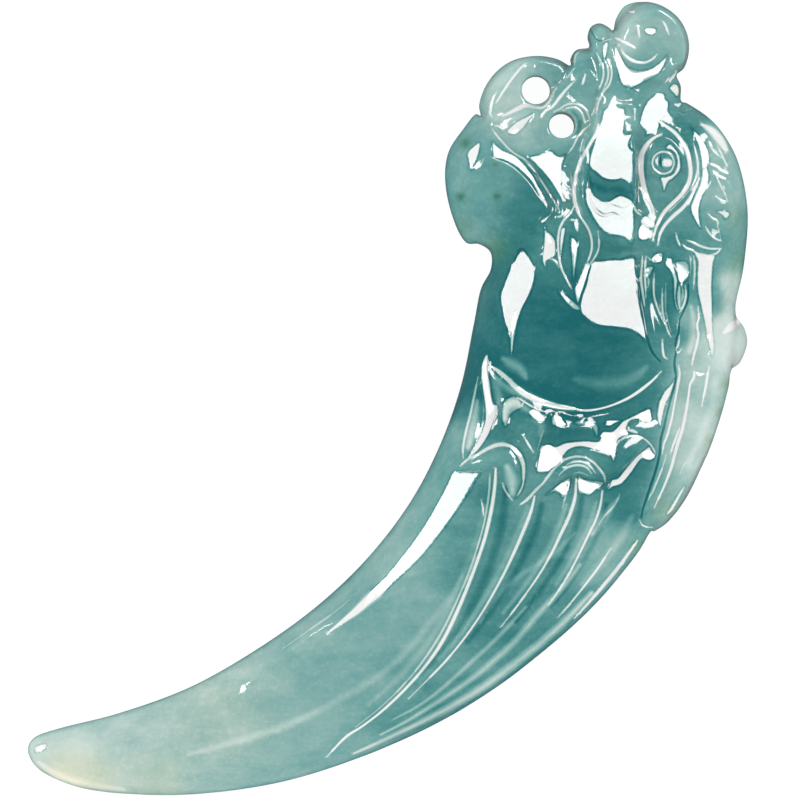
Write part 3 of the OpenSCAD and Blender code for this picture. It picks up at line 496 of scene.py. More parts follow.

# Each stroke, a ridge or a groove: rows of X, Y and half width, then its height for each mm of half
# width and how much paler it is painted, a painted highlight along the line, and painted shade where the
# value is below 0
strokes = {
    "discLong": ([
        (7.6, 20.7, 0.06), (8.0, 21.35, 0.1), (8.5, 22.1, 0.1), (9.0, 22.75, 0.1), (9.4, 23.2, 0.08),
        (9.65, 23.4, 0.04),
    ], 0.6, 0.5),
    "discShort": ([
        (7.15, 19.85, 0.08), (7.22, 20.5, 0.12), (7.37, 21.0, 0.09), (7.57, 21.35, 0.04),
    ], 0.6, 0.5),
    "discStep": ([
        (8.1, 19.75, 0.08), (8.6, 20.0, 0.14), (9.1, 20.25, 0.18), (9.6, 20.45, 0.18), (10.2, 20.35, 0.14),
        (10.8, 20.3, 0.12), (11.25, 20.7, 0.12), (11.55, 21.3, 0.1), (11.8, 21.7, 0.05),
    ], 0.35, 0.5),
    "leafRib": ([
        (10.75, 19.65, 0.08), (11.0, 20.05, 0.12), (11.5, 20.35, 0.1), (12.0, 21.0, 0.13), (12.5, 21.6, 0.1),
        (13.1, 22.2, 0.04),
    ], 0.6, 0.6),
    "leafTop": ([(12.3, 22.15, 0.04), (12.7, 22.6, 0.07), (13.05, 23.05, 0.04)], 0.5, 0.4),
    "leafTick": ([(13.6, 21.95, 0.08), (13.68, 22.25, 0.1), (13.76, 22.52, 0.06)], 0.6, 0.8),
    "leafTip": ([(7.55, 19.05, 0.05), (7.75, 19.0, 0.09), (7.95, 18.85, 0.05)], 0.6, 0.6),
    "leafLow": ([
        (7.35, 18.7, 0.05), (7.8, 18.1, 0.09), (8.4, 17.42, 0.09), (9.0, 16.95, 0.07), (9.6, 16.6, 0.06),
        (10.1, 16.1, 0.05), (10.6, 15.3, 0.06), (11.1, 14.5, 0.07), (11.6, 13.7, 0.08), (12.0, 13.0, 0.05),
    ], 0.5, 0.45),
    "leafBelow": ([
        (12.6, 17.1, 0.05), (12.95, 17.6, 0.08), (13.2, 18.15, 0.08), (13.6, 18.65, 0.07),
        (13.95, 18.95, 0.05),
    ], 0.5, 0.5),
    "dishOuter": ([
        (11.5, 19.95, 0.05), (11.95, 20.15, 0.08), (12.4, 20.45, 0.1), (13.0, 20.55, 0.1), (13.6, 20.3, 0.1),
        (13.95, 19.85, 0.09), (14.1, 19.3, 0.05),
    ], 0.4, 0.35),
    "dishInner": ([
        (12.2, 20.12, 0.05), (12.8, 20.3, 0.08), (13.3, 20.15, 0.08), (13.6, 19.75, 0.08),
        (13.75, 19.2, 0.06),
    ], 0.4, 0.45),
    "leafBumpArc": ([
        (13.05, 23.3, 0.05), (13.05, 23.75, 0.08), (13.25, 24.15, 0.08), (13.6, 24.4, 0.08),
        (14.2, 24.45, 0.05),
    ], 0.4, 0.4),
    "stalkBumpArc": ([
        (14.2, 25.9, 0.04), (14.3, 25.5, 0.07), (14.5, 25.15, 0.08), (14.8, 24.95, 0.07),
        (15.1, 25.05, 0.04),
    ], -0.5, -0.3),
    "stalkOne": ([
        (14.6, 24.1, 0.04), (14.8, 23.6, 0.07), (15.0, 23.1, 0.08), (15.05, 22.6, 0.08), (14.95, 22.1, 0.1),
        (14.75, 21.6, 0.05),
    ], 0.5, 0.5),
    "stalkTwo": ([
        (15.15, 23.5, 0.04), (15.35, 23.0, 0.07), (15.38, 22.5, 0.07), (15.25, 22.0, 0.07),
        (15.0, 21.5, 0.04),
    ], 0.5, 0.5),
    "stalkThree": ([
        (15.3, 23.6, 0.04), (15.58, 23.0, 0.07), (15.6, 22.4, 0.08), (15.4, 21.8, 0.08), (15.05, 21.4, 0.07),
        (14.8, 20.9, 0.07), (14.62, 20.4, 0.08), (14.52, 19.85, 0.05),
    ], 0.5, 0.55),
    "stalkEdge": ([(15.0, 24.95, 0.04), (15.2, 24.95, 0.06), (15.4, 25.05, 0.04)], 0.5, 0.4),
    "curlDot": ([(16.95, 27.0, 0.06), (17.15, 27.0, 0.06)], 0.6, 0.8),
    "curlLineLeft": ([(17.45, 25.9, 0.05), (17.5, 25.6, 0.09), (17.52, 25.3, 0.05)], 0.5, 0.8),
    "curlLineRight": ([(19.22, 26.25, 0.05), (19.4, 25.95, 0.08), (19.6, 25.4, 0.04)], 0.5, 0.7),
    "curlLink": ([(16.02, 25.12, 0.06), (16.5, 24.82, 0.1), (17.15, 24.48, 0.06)], 0.5, 0.7),
    "curlSmile": ([
        (16.3, 24.3, 0.05), (16.6, 23.85, 0.09), (17.0, 23.55, 0.1), (17.5, 23.4, 0.1), (18.0, 23.43, 0.1),
        (18.45, 23.65, 0.08), (18.8, 24.0, 0.04),
    ], 0.5, 0.6),
    "curlTickLow": ([(19.38, 22.05, 0.04), (19.55, 22.25, 0.07), (19.72, 22.42, 0.04)], 0.5, 0.6),
    "curlTickHigh": ([(19.7, 22.15, 0.07), (19.9, 22.42, 0.1), (20.12, 22.72, 0.06)], 0.5, 0.8),
    "lidInner": ([
        (19.1, 18.42, 0.04), (18.5, 18.1, 0.1), (18.02, 17.6, 0.15), (17.7, 16.95, 0.19), (17.64, 16.2, 0.2),
        (17.69, 15.5, 0.19), (17.85, 14.7, 0.17), (18.1, 14.0, 0.13), (18.4, 13.3, 0.1),
        (18.62, 12.65, 0.04),
    ], 0.4, 1.4),
    "lidOuter": ([
        (18.95, 19.35, 0.05), (19.4, 18.97, 0.11), (20.0, 18.52, 0.13), (20.5, 17.9, 0.13),
        (20.88, 17.1, 0.14), (21.07, 16.2, 0.14), (21.08, 15.5, 0.14), (20.88, 14.8, 0.14),
        (20.48, 14.2, 0.14), (19.9, 13.62, 0.14), (19.33, 13.05, 0.13), (18.93, 12.45, 0.11),
        (18.65, 11.8, 0.09), (18.45, 11.0, 0.04),
    ], 0.4, 1.3),
    "lidFoldHigh": ([
        (21.3, 17.8, 0.04), (21.5, 17.0, 0.09), (21.6, 16.2, 0.09), (21.52, 15.45, 0.07),
        (21.2, 14.75, 0.05), (20.65, 14.05, 0.05), (20.0, 13.4, 0.05), (19.6, 13.0, 0.04),
    ], 0.4, 0.5),
    "lidFold": ([
        (21.7, 15.3, 0.04), (21.4, 14.6, 0.08), (21.0, 13.85, 0.11), (20.5, 13.22, 0.12),
        (19.85, 12.65, 0.12), (19.3, 12.05, 0.11), (18.95, 11.4, 0.09), (18.8, 10.65, 0.04),
    ], 0.4, 1.3),
    "pupilMoon": ([(18.8, 16.72, 0.05), (18.73, 16.5, 0.11), (18.8, 16.26, 0.05)], 0.2, 0.9),
    "pupilDark": ([(19.03, 16.86, 0.05), (18.98, 16.5, 0.1), (19.03, 16.15, 0.05)], -0.3, -0.35),
    "nubLow": ([(20.05, 20.5, 0.06), (20.25, 20.45, 0.13), (20.42, 20.55, 0.06)], 0.2, 1.1),
    "nubFaint": ([(20.3, 19.95, 0.04), (20.55, 19.78, 0.06), (20.75, 19.8, 0.04)], 0.1, 0.3),
    "nubFaintHigh": ([(20.7, 20.05, 0.04), (20.95, 20.12, 0.06), (21.15, 20.2, 0.04)], 0.1, 0.25),
    "flankThread": ([
        (-2.7, -14.1, 0.04), (-4.0, -15.15, 0.06), (-5.5, -16.2, 0.06), (-7.2, -17.4, 0.04),
    ], 0.2, 0.3),
    # flankTail is a painted highlight with no height, the tail of the flank's lamp reflection
    "flankTail": ([
        (0.1, -12.75, 0.2), (-0.63, -13.44, 0.33), (-1.43, -14.14, 0.3), (-2.2, -14.84, 0.24),
        (-3.1, -15.54, 0.14), (-4.15, -16.35, 0.05),
    ], 0.0, 1.4),
    "pupilRing": ([
        (19.97, 16.4, 0.08), (19.74, 16.95, 0.08), (19.2, 17.17, 0.08), (18.66, 16.95, 0.08),
        (18.43, 16.4, 0.08), (18.66, 15.85, 0.08), (19.2, 15.63, 0.08), (19.74, 15.85, 0.08),
        (19.97, 16.4, 0.08),
    ], 0.5, 0.6),
    "pupil": ([(19.4, 16.4, 0.3), (19.55, 16.4, 0.3)], 0.3, 1.0),
    "pupilGroove": ([
        (20.1, 16.4, 0.05), (19.84, 17.04, 0.05), (19.2, 17.3, 0.05), (18.56, 17.04, 0.05),
        (18.3, 16.4, 0.05), (18.56, 15.76, 0.05), (19.2, 15.5, 0.05), (19.84, 15.76, 0.05),
        (20.1, 16.4, 0.05),
    ], -0.3, -0.15),
    "muzzleArc": ([
        (14.05, 14.3, 0.06), (14.2, 13.5, 0.16), (14.6, 12.95, 0.2), (15.1, 12.7, 0.18), (15.6, 12.85, 0.14),
        (16.1, 12.7, 0.06),
    ], -0.25, -0.35),
    "muzzleSmear": ([
        (16.9, 13.5, 0.06), (16.4, 13.2, 0.12), (15.9, 13.3, 0.12), (15.4, 13.5, 0.08), (15.0, 13.35, 0.04),
    ], -0.2, -0.2),
    "tearCurl": ([(17.1, 13.45, 0.05), (17.3, 13.02, 0.1), (17.65, 12.75, 0.06)], 0.5, 0.7),
    "lipLine": ([
        (14.68, 19.1, 0.05), (14.5, 18.45, 0.1), (14.02, 17.6, 0.11), (13.52, 16.7, 0.11),
        (13.2, 15.9, 0.11), (13.05, 15.2, 0.11), (12.98, 14.4, 0.11), (13.03, 13.6, 0.1),
        (13.18, 13.2, 0.09), (13.38, 12.8, 0.04),
    ], 0.45, 1.2),
    "lipLow": ([(12.74, 15.75, 0.04), (12.82, 15.1, 0.07), (12.85, 14.4, 0.05)], 0.5, 0.4),
    "lipCross": ([(12.25, 14.85, 0.05), (12.6, 14.45, 0.09), (12.9, 13.95, 0.05)], 0.5, 0.5),
    "fangRight": ([
        (13.12, 13.05, 0.05), (13.42, 12.6, 0.08), (13.88, 11.9, 0.09), (14.13, 11.25, 0.09),
        (14.2, 10.6, 0.09), (14.1, 10.0, 0.08), (13.88, 9.45, 0.05),
    ], 0.45, 0.7),
    "fangRightOuter": ([
        (14.62, 11.5, 0.04), (14.7, 10.8, 0.07), (14.63, 10.25, 0.08), (14.35, 9.7, 0.08),
        (14.05, 9.25, 0.06), (13.8, 8.95, 0.04),
    ], 0.5, 0.6),
    "fangLeft": ([
        (13.05, 13.5, 0.05), (12.75, 12.95, 0.09), (12.2, 12.3, 0.1), (11.92, 11.6, 0.1), (11.85, 10.8, 0.1),
        (11.9, 10.0, 0.09), (12.03, 9.2, 0.09), (12.32, 8.5, 0.09), (12.62, 7.9, 0.08), (12.8, 7.6, 0.04),
    ], 0.45, 0.7),
    "fangDot": ([(12.8, 12.42, 0.07), (12.92, 12.4, 0.07)], 0.6, 0.8),
    "fangArc": ([(11.0, 9.75, 0.04), (11.4, 9.68, 0.08), (11.7, 9.45, 0.08), (11.9, 9.1, 0.04)], 0.5, 0.5),
    "fangBits": ([
        (11.72, 12.65, 0.05), (11.95, 12.62, 0.09), (12.2, 12.85, 0.08), (12.15, 13.2, 0.04),
    ], 0.6, 0.6),
    "tuftOne": ([(22.35, 17.95, 0.04), (22.6, 17.4, 0.08), (23.0, 16.9, 0.05)], 0.3, 0.5),
    "tuftTwo": ([
        (22.95, 17.65, 0.04), (23.25, 17.05, 0.08), (23.5, 16.5, 0.08), (23.68, 16.15, 0.05),
    ], 0.3, 0.45),
    "tuftThree": ([(22.3, 16.4, 0.04), (22.6, 16.25, 0.07), (22.95, 16.1, 0.04)], 0.3, 0.35),
    "tuftFour": ([(22.65, 15.75, 0.04), (23.0, 15.5, 0.08), (23.4, 15.3, 0.05)], 0.3, 0.4),
    "tuftFive": ([(23.1, 15.92, 0.04), (23.35, 15.8, 0.08), (23.65, 15.65, 0.05)], 0.3, 0.45),
    "tuftSix": ([
        (22.65, 15.85, 0.04), (23.0, 15.2, 0.06), (23.3, 14.6, 0.06), (23.55, 14.1, 0.06),
        (23.62, 13.72, 0.06), (23.25, 13.76, 0.09), (22.95, 14.0, 0.05),
    ], 0.3, 0.4),
    "tuftSeven": ([
        (22.35, 12.8, 0.04), (22.65, 12.5, 0.08), (22.97, 12.33, 0.08), (22.98, 11.9, 0.04),
    ], 0.3, 0.5),
    "tuftEight": ([
        (22.12, 11.95, 0.04), (22.4, 11.5, 0.09), (22.8, 11.12, 0.09), (23.22, 10.95, 0.05),
    ], 0.5, 0.6),
    "tuftEdge": ([(23.22, 11.0, 0.04), (23.1, 11.5, 0.05), (23.0, 11.95, 0.04)], 0.5, 0.3),
    "tuftFringe": ([
        (20.85, 10.98, 0.05), (21.3, 10.8, 0.1), (21.8, 10.57, 0.1), (22.35, 10.42, 0.09),
        (22.85, 10.4, 0.08), (23.18, 10.42, 0.05),
    ], 0.5, 0.6),
    "tuftLower": ([
        (20.55, 10.68, 0.05), (20.8, 10.42, 0.09), (21.12, 10.33, 0.09), (21.5, 10.12, 0.08),
        (22.0, 9.99, 0.07), (22.6, 9.96, 0.07), (22.98, 10.15, 0.08), (23.17, 10.38, 0.04),
    ], 0.5, 0.6),
    "tuftLeft": ([(20.08, 11.4, 0.05), (20.17, 11.0, 0.08), (20.35, 10.6, 0.05)], 0.5, 0.6),
    "maneLine": ([(21.28, 9.9, 0.04), (21.37, 9.2, 0.08), (21.34, 8.4, 0.08), (21.28, 7.6, 0.04)], 0.5, 0.5),
    "maneLineLeft": ([(21.0, 9.9, 0.04), (21.08, 9.3, 0.06), (21.05, 8.5, 0.04)], 0.5, 0.35),
    "beardRim": ([
        (17.4, 8.8, 0.05), (17.55, 7.2, 0.1), (17.82, 5.6, 0.12), (18.05, 4.2, 0.12), (18.4, 3.2, 0.12),
        (18.95, 2.55, 0.06),
    ], -0.4, -0.3),
    "dropRim": ([
        (20.9, 8.1, 0.05), (20.92, 7.3, 0.09), (20.82, 6.6, 0.09), (20.5, 5.85, 0.09), (20.3, 5.4, 0.08),
        (20.25, 4.6, 0.08), (20.05, 4.0, 0.08), (20.0, 3.4, 0.05),
    ], -0.4, -0.35),
    "dropHeart": ([(20.3, 7.8, 0.05), (20.25, 7.2, 0.14), (20.28, 6.5, 0.1), (20.32, 6.2, 0.04)], 0.2, 0.5),
    "dropHeartRight": ([(20.5, 7.7, 0.04), (20.55, 7.2, 0.09), (20.48, 6.7, 0.04)], 0.2, 0.4),
    "beardOne": ([
        (17.72, 9.85, 0.05), (17.68, 9.1, 0.08), (17.63, 8.3, 0.1), (17.75, 7.3, 0.09), (17.87, 6.4, 0.04),
    ], 0.4, 0.65),
    "beardTwo": ([(17.97, 9.8, 0.05), (17.9, 9.0, 0.09), (17.92, 8.0, 0.08), (17.96, 7.0, 0.04)], 0.4, 0.65),
    "beardFan": ([(18.15, 9.75, 0.04), (18.35, 9.6, 0.08), (18.55, 9.85, 0.05)], 0.3, 0.5),
    "beardTip": ([(18.12, 8.3, 0.08), (18.15, 7.95, 0.06), (18.1, 7.7, 0.04)], 0.3, 0.5),
    "beardThree": ([
        (18.55, 8.65, 0.04), (18.5, 7.8, 0.08), (18.55, 7.0, 0.08), (18.76, 6.3, 0.08), (19.0, 5.7, 0.06),
        (19.25, 5.15, 0.04),
    ], 0.5, 0.6),
    "beardFour": ([
        (19.1, 7.6, 0.04), (19.1, 6.8, 0.08), (19.13, 6.0, 0.08), (19.3, 5.3, 0.08), (19.5, 4.65, 0.07),
        (19.7, 4.25, 0.05),
    ], 0.5, 0.6),
    "beardFive": ([
        (19.35, 8.0, 0.04), (19.32, 7.0, 0.07), (19.33, 6.2, 0.06), (19.48, 5.4, 0.06), (19.72, 4.6, 0.04),
    ], 0.3, 0.35),
    "beardEnd": ([(19.1, 3.95, 0.05), (19.13, 3.4, 0.09), (19.22, 2.9, 0.09), (19.4, 2.75, 0.05)], 0.5, 0.7),
    "beardHook": ([
        (20.3, 4.3, 0.04), (20.22, 3.7, 0.08), (20.07, 3.4, 0.05), (20.2, 3.15, 0.07), (20.45, 3.4, 0.04),
    ], 0.5, 0.6),
    "beardBit": ([(20.22, 5.35, 0.04), (20.12, 4.85, 0.04)], 0.5, 0.4),
    "dropRight": ([
        (20.3, 5.95, 0.04), (20.6, 6.5, 0.08), (20.75, 7.2, 0.08), (20.7, 7.85, 0.04),
    ], 0.5, 0.65),
    "scrollEdge": ([
        (13.2, -0.85, 0.05), (13.9, -0.87, 0.09), (14.6, -0.78, 0.08), (15.3, -0.6, 0.08),
        (16.0, -0.35, 0.09), (16.8, 0.03, 0.11), (17.5, 0.48, 0.12), (18.1, 0.95, 0.11), (18.5, 1.3, 0.08),
        (18.95, 1.78, 0.04),
    ], 0.5, 1.0),
    "scrollBrim": ([
        (7.0, 2.3, 0.05), (7.6, 1.95, 0.14), (8.3, 1.35, 0.2), (9.1, 0.6, 0.22), (10.0, 0.05, 0.24),
        (11.0, -0.35, 0.24), (12.0, -0.6, 0.2), (13.0, -0.72, 0.1),
    ], 0.3, 0.75),
    "leafRimLeft": ([
        (6.27, 1.4, 0.05), (6.05, 0.3, 0.07), (5.75, -1.1, 0.07), (5.42, -2.4, 0.07), (5.23, -3.5, 0.07),
        (5.25, -4.15, 0.05),
    ], 0.5, 0.6),
    "leafRimRight": ([(6.35, 1.1, 0.04), (6.6, 0.2, 0.05), (6.68, -0.9, 0.06), (6.5, -2.0, 0.04)], 0.4, 0.3),
    "lumpLine": ([
        (9.0, 0.05, 0.05), (9.6, -0.33, 0.08), (10.3, -0.73, 0.08), (10.95, -0.97, 0.05),
    ], 0.5, 0.8),
    "lumpTick": ([(9.5, -2.75, 0.05), (9.8, -3.27, 0.07), (10.12, -3.78, 0.04)], 0.5, 0.8),
    "lumpFaint": ([(10.78, -2.3, 0.04), (10.62, -2.9, 0.08), (10.38, -3.6, 0.04)], 0.4, 0.3),
    "clawTop": ([
        (5.0, -4.75, 0.05), (5.6, -4.25, 0.1), (6.3, -3.9, 0.12), (7.0, -3.5, 0.15), (7.7, -3.25, 0.17),
        (8.4, -3.3, 0.15), (8.9, -3.65, 0.08),
    ], 0.3, 0.6),
    "clawBelly": ([(7.95, -5.9, 0.04), (8.2, -6.5, 0.08), (8.6, -7.05, 0.05)], 0.5, 0.6),
    "clawFoot": ([(4.95, -5.12, 0.05), (5.6, -5.1, 0.06), (6.5, -5.12, 0.04)], 0.4, 0.4),
    "cloudEdge": ([
        (9.2, -7.42, 0.05), (9.65, -7.1, 0.12), (10.2, -6.52, 0.11), (10.8, -5.92, 0.1), (11.2, -5.35, 0.1),
        (11.7, -4.75, 0.1), (12.3, -4.3, 0.1), (13.0, -4.08, 0.09), (13.7, -4.13, 0.08), (14.3, -4.5, 0.08),
        (14.8, -5.02, 0.09), (15.08, -5.5, 0.08), (15.1, -5.85, 0.04),
    ], 0.5, 0.6),
    "cloudDot": ([(12.25, -4.82, 0.08), (12.36, -4.8, 0.08)], 0.5, 0.8),
    "cloudRingOuter": ([
        (12.45, -4.62, 0.04), (13.0, -4.42, 0.07), (13.6, -4.46, 0.07), (14.1, -4.78, 0.07),
        (14.42, -5.2, 0.04),
    ], 0.5, 0.6),
    "cloudRingInner": ([
        (11.95, -5.3, 0.04), (12.5, -4.83, 0.07), (13.2, -4.67, 0.07), (13.8, -4.82, 0.07),
        (14.15, -5.25, 0.04),
    ], 0.5, 0.6),
    "cloudHeart": ([(12.95, -5.25, 0.04), (13.4, -5.17, 0.06), (13.9, -5.4, 0.04)], 0.4, 0.4),
    "lobeLowEdge": ([
        (16.0, -3.2, 0.04), (16.3, -2.85, 0.07), (16.9, -2.66, 0.07), (17.6, -2.72, 0.07),
        (18.15, -3.1, 0.08), (18.5, -3.6, 0.08), (18.62, -3.95, 0.04),
    ], 0.5, 0.55),
    "lobeHighEdge": ([
        (16.62, -2.3, 0.04), (16.75, -1.8, 0.06), (17.3, -1.52, 0.06), (18.1, -1.62, 0.04),
    ], 0.4, 0.25),
    "lobeHighGlint": ([(16.7, -2.25, 0.06), (17.0, -2.28, 0.14), (17.35, -2.42, 0.08)], 0.5, 0.7),
    "finTop": ([
        (21.6, 6.3, 0.04), (21.66, 5.6, 0.07), (21.55, 5.1, 0.08), (21.63, 4.4, 0.08), (21.52, 3.7, 0.1),
        (21.32, 3.0, 0.08), (21.18, 2.3, 0.04),
    ], 0.5, 0.7),
    "finRidge": ([
        (21.36, 1.85, 0.05), (21.3, 1.4, 0.1), (21.06, 0.95, 0.08), (20.95, 0.2, 0.08), (20.83, -0.6, 0.09),
        (20.68, -1.4, 0.1), (20.48, -2.3, 0.11), (20.22, -3.1, 0.12), (19.98, -4.0, 0.11),
        (19.77, -4.8, 0.11), (19.48, -5.6, 0.1), (19.1, -6.5, 0.08), (18.8, -7.15, 0.06), (18.6, -7.6, 0.04),
    ], 0.5, 0.75),
    "finRidgeLeft": ([
        (20.32, -2.1, 0.04), (20.08, -2.75, 0.1), (19.85, -3.35, 0.09), (19.7, -3.9, 0.04),
    ], 0.4, 0.5),
    "finBeads": ([
        (20.25, 2.2, 0.05), (20.32, 1.7, 0.1), (20.22, 1.0, 0.1), (20.08, 0.2, 0.09), (19.92, -0.6, 0.08),
        (19.8, -1.3, 0.09), (19.62, -2.0, 0.1), (19.42, -2.7, 0.1), (19.22, -3.2, 0.08), (19.12, -3.9, 0.04),
    ], 0.5, 0.5),
    "finGrooveLeft": ([
        (20.1, 3.4, 0.08), (19.95, 2.4, 0.12), (20.05, 1.5, 0.1), (19.9, 0.6, 0.1), (19.66, -0.2, 0.1),
        (19.45, -1.0, 0.1), (19.25, -1.9, 0.12), (19.0, -2.9, 0.12), (18.9, -4.0, 0.12), (18.6, -5.2, 0.12),
        (18.2, -6.4, 0.12), (17.8, -7.6, 0.1), (17.65, -8.3, 0.06),
    ], -0.7, -0.35),
    "finEdgeLeft": ([
        (19.35, -4.1, 0.04), (19.1, -4.9, 0.06), (18.75, -5.8, 0.06), (18.4, -6.6, 0.06),
        (18.15, -7.1, 0.04),
    ], 0.5, 0.5),
    "finShort": ([
        (22.38, 2.2, 0.04), (22.26, 1.5, 0.07), (22.13, 0.7, 0.07), (22.0, 0.1, 0.06), (21.88, -0.5, 0.04),
    ], 0.5, 0.7),
    "finFaint": ([(20.8, -4.4, 0.04), (20.6, -4.75, 0.06), (20.4, -5.2, 0.04)], 0.4, 0.35),
    "finFoot": ([
        (17.55, -8.55, 0.04), (17.72, -8.85, 0.06), (18.05, -9.0, 0.06), (18.45, -9.05, 0.04),
    ], 0.5, 0.7),
    "featherOneRight": ([
        (7.5, -4.95, 0.08), (7.45, -6.0, 0.13), (7.3, -7.2, 0.15), (7.05, -8.5, 0.15), (6.7, -9.9, 0.14),
        (6.2, -11.4, 0.13), (5.6, -13.0, 0.14), (4.9, -14.7, 0.14), (4.1, -16.4, 0.14), (3.2, -17.9, 0.13),
        (2.1, -19.3, 0.11), (0.9, -20.6, 0.1), (-0.5, -21.9, 0.09), (-1.8, -22.9, 0.08), (-3.0, -23.7, 0.1),
        (-4.3, -25.1, 0.04),
    ], 0.6, 0.75),
    "featherOneLeft": ([
        (7.1, -5.3, 0.05), (7.05, -6.4, 0.09), (6.9, -7.6, 0.09), (6.65, -8.9, 0.08), (6.3, -10.2, 0.07),
        (5.85, -11.6, 0.07), (5.3, -13.0, 0.07), (4.6, -14.6, 0.07), (3.8, -16.2, 0.07), (2.95, -17.6, 0.07),
        (1.85, -19.1, 0.06), (0.6, -20.5, 0.06), (-0.8, -21.8, 0.05), (-2.2, -22.9, 0.04),
    ], 0.5, 0.45),
    "featherFork": ([(6.5, -7.1, 0.04), (6.6, -7.6, 0.08), (6.65, -8.2, 0.04)], 0.5, 0.6),
    "featherTwo": ([
        (10.22, -6.85, 0.07), (9.95, -7.9, 0.13), (9.5, -9.1, 0.14), (8.9, -10.5, 0.13), (8.1, -12.2, 0.1),
        (7.15, -13.95, 0.09), (6.2, -15.5, 0.08), (5.2, -16.9, 0.08), (4.05, -18.3, 0.07),
        (2.9, -19.5, 0.06), (1.5, -20.9, 0.04),
    ], 0.6, 0.7),
    "featherThree": ([
        (13.1, -5.6, 0.08), (13.02, -6.9, 0.13), (12.65, -8.15, 0.14), (12.1, -9.35, 0.13),
        (11.58, -10.45, 0.11), (10.9, -11.7, 0.09), (10.2, -12.8, 0.08), (9.35, -14.0, 0.07),
        (8.5, -15.15, 0.06), (7.8, -16.0, 0.04),
    ], 0.6, 0.7),
    "featherThreeLeft": ([(12.62, -5.9, 0.04), (12.4, -6.7, 0.07), (12.15, -7.6, 0.04)], 0.5, 0.5),
    "featherFour": ([
        (14.92, -6.5, 0.06), (14.8, -7.4, 0.1), (14.5, -8.4, 0.1), (14.0, -9.45, 0.09), (13.3, -10.9, 0.08),
        (12.6, -12.25, 0.07), (11.85, -13.45, 0.06), (11.2, -14.4, 0.04),
    ], 0.6, 0.65),
    "featherFive": ([
        (16.1, -6.8, 0.04), (15.75, -7.5, 0.06), (15.1, -8.2, 0.06), (14.7, -8.8, 0.04),
    ], 0.5, 0.4),
    # rimOuter is a painted highlight, the lamp's stripe along the right rim
    "rimOuter": ([
        (17.4, -9.95, 0.05), (16.85, -10.75, 0.1), (15.95, -12.0, 0.13), (14.95, -13.2, 0.13),
        (13.95, -14.35, 0.1), (13.0, -15.4, 0.04),
    ], 0.1, 1.0),
    "rimInner": ([
        (15.5, -10.5, 0.04), (14.7, -11.75, 0.08), (13.6, -13.2, 0.08), (12.6, -14.45, 0.08),
        (11.85, -15.3, 0.04),
    ], 0.6, 0.6),
}
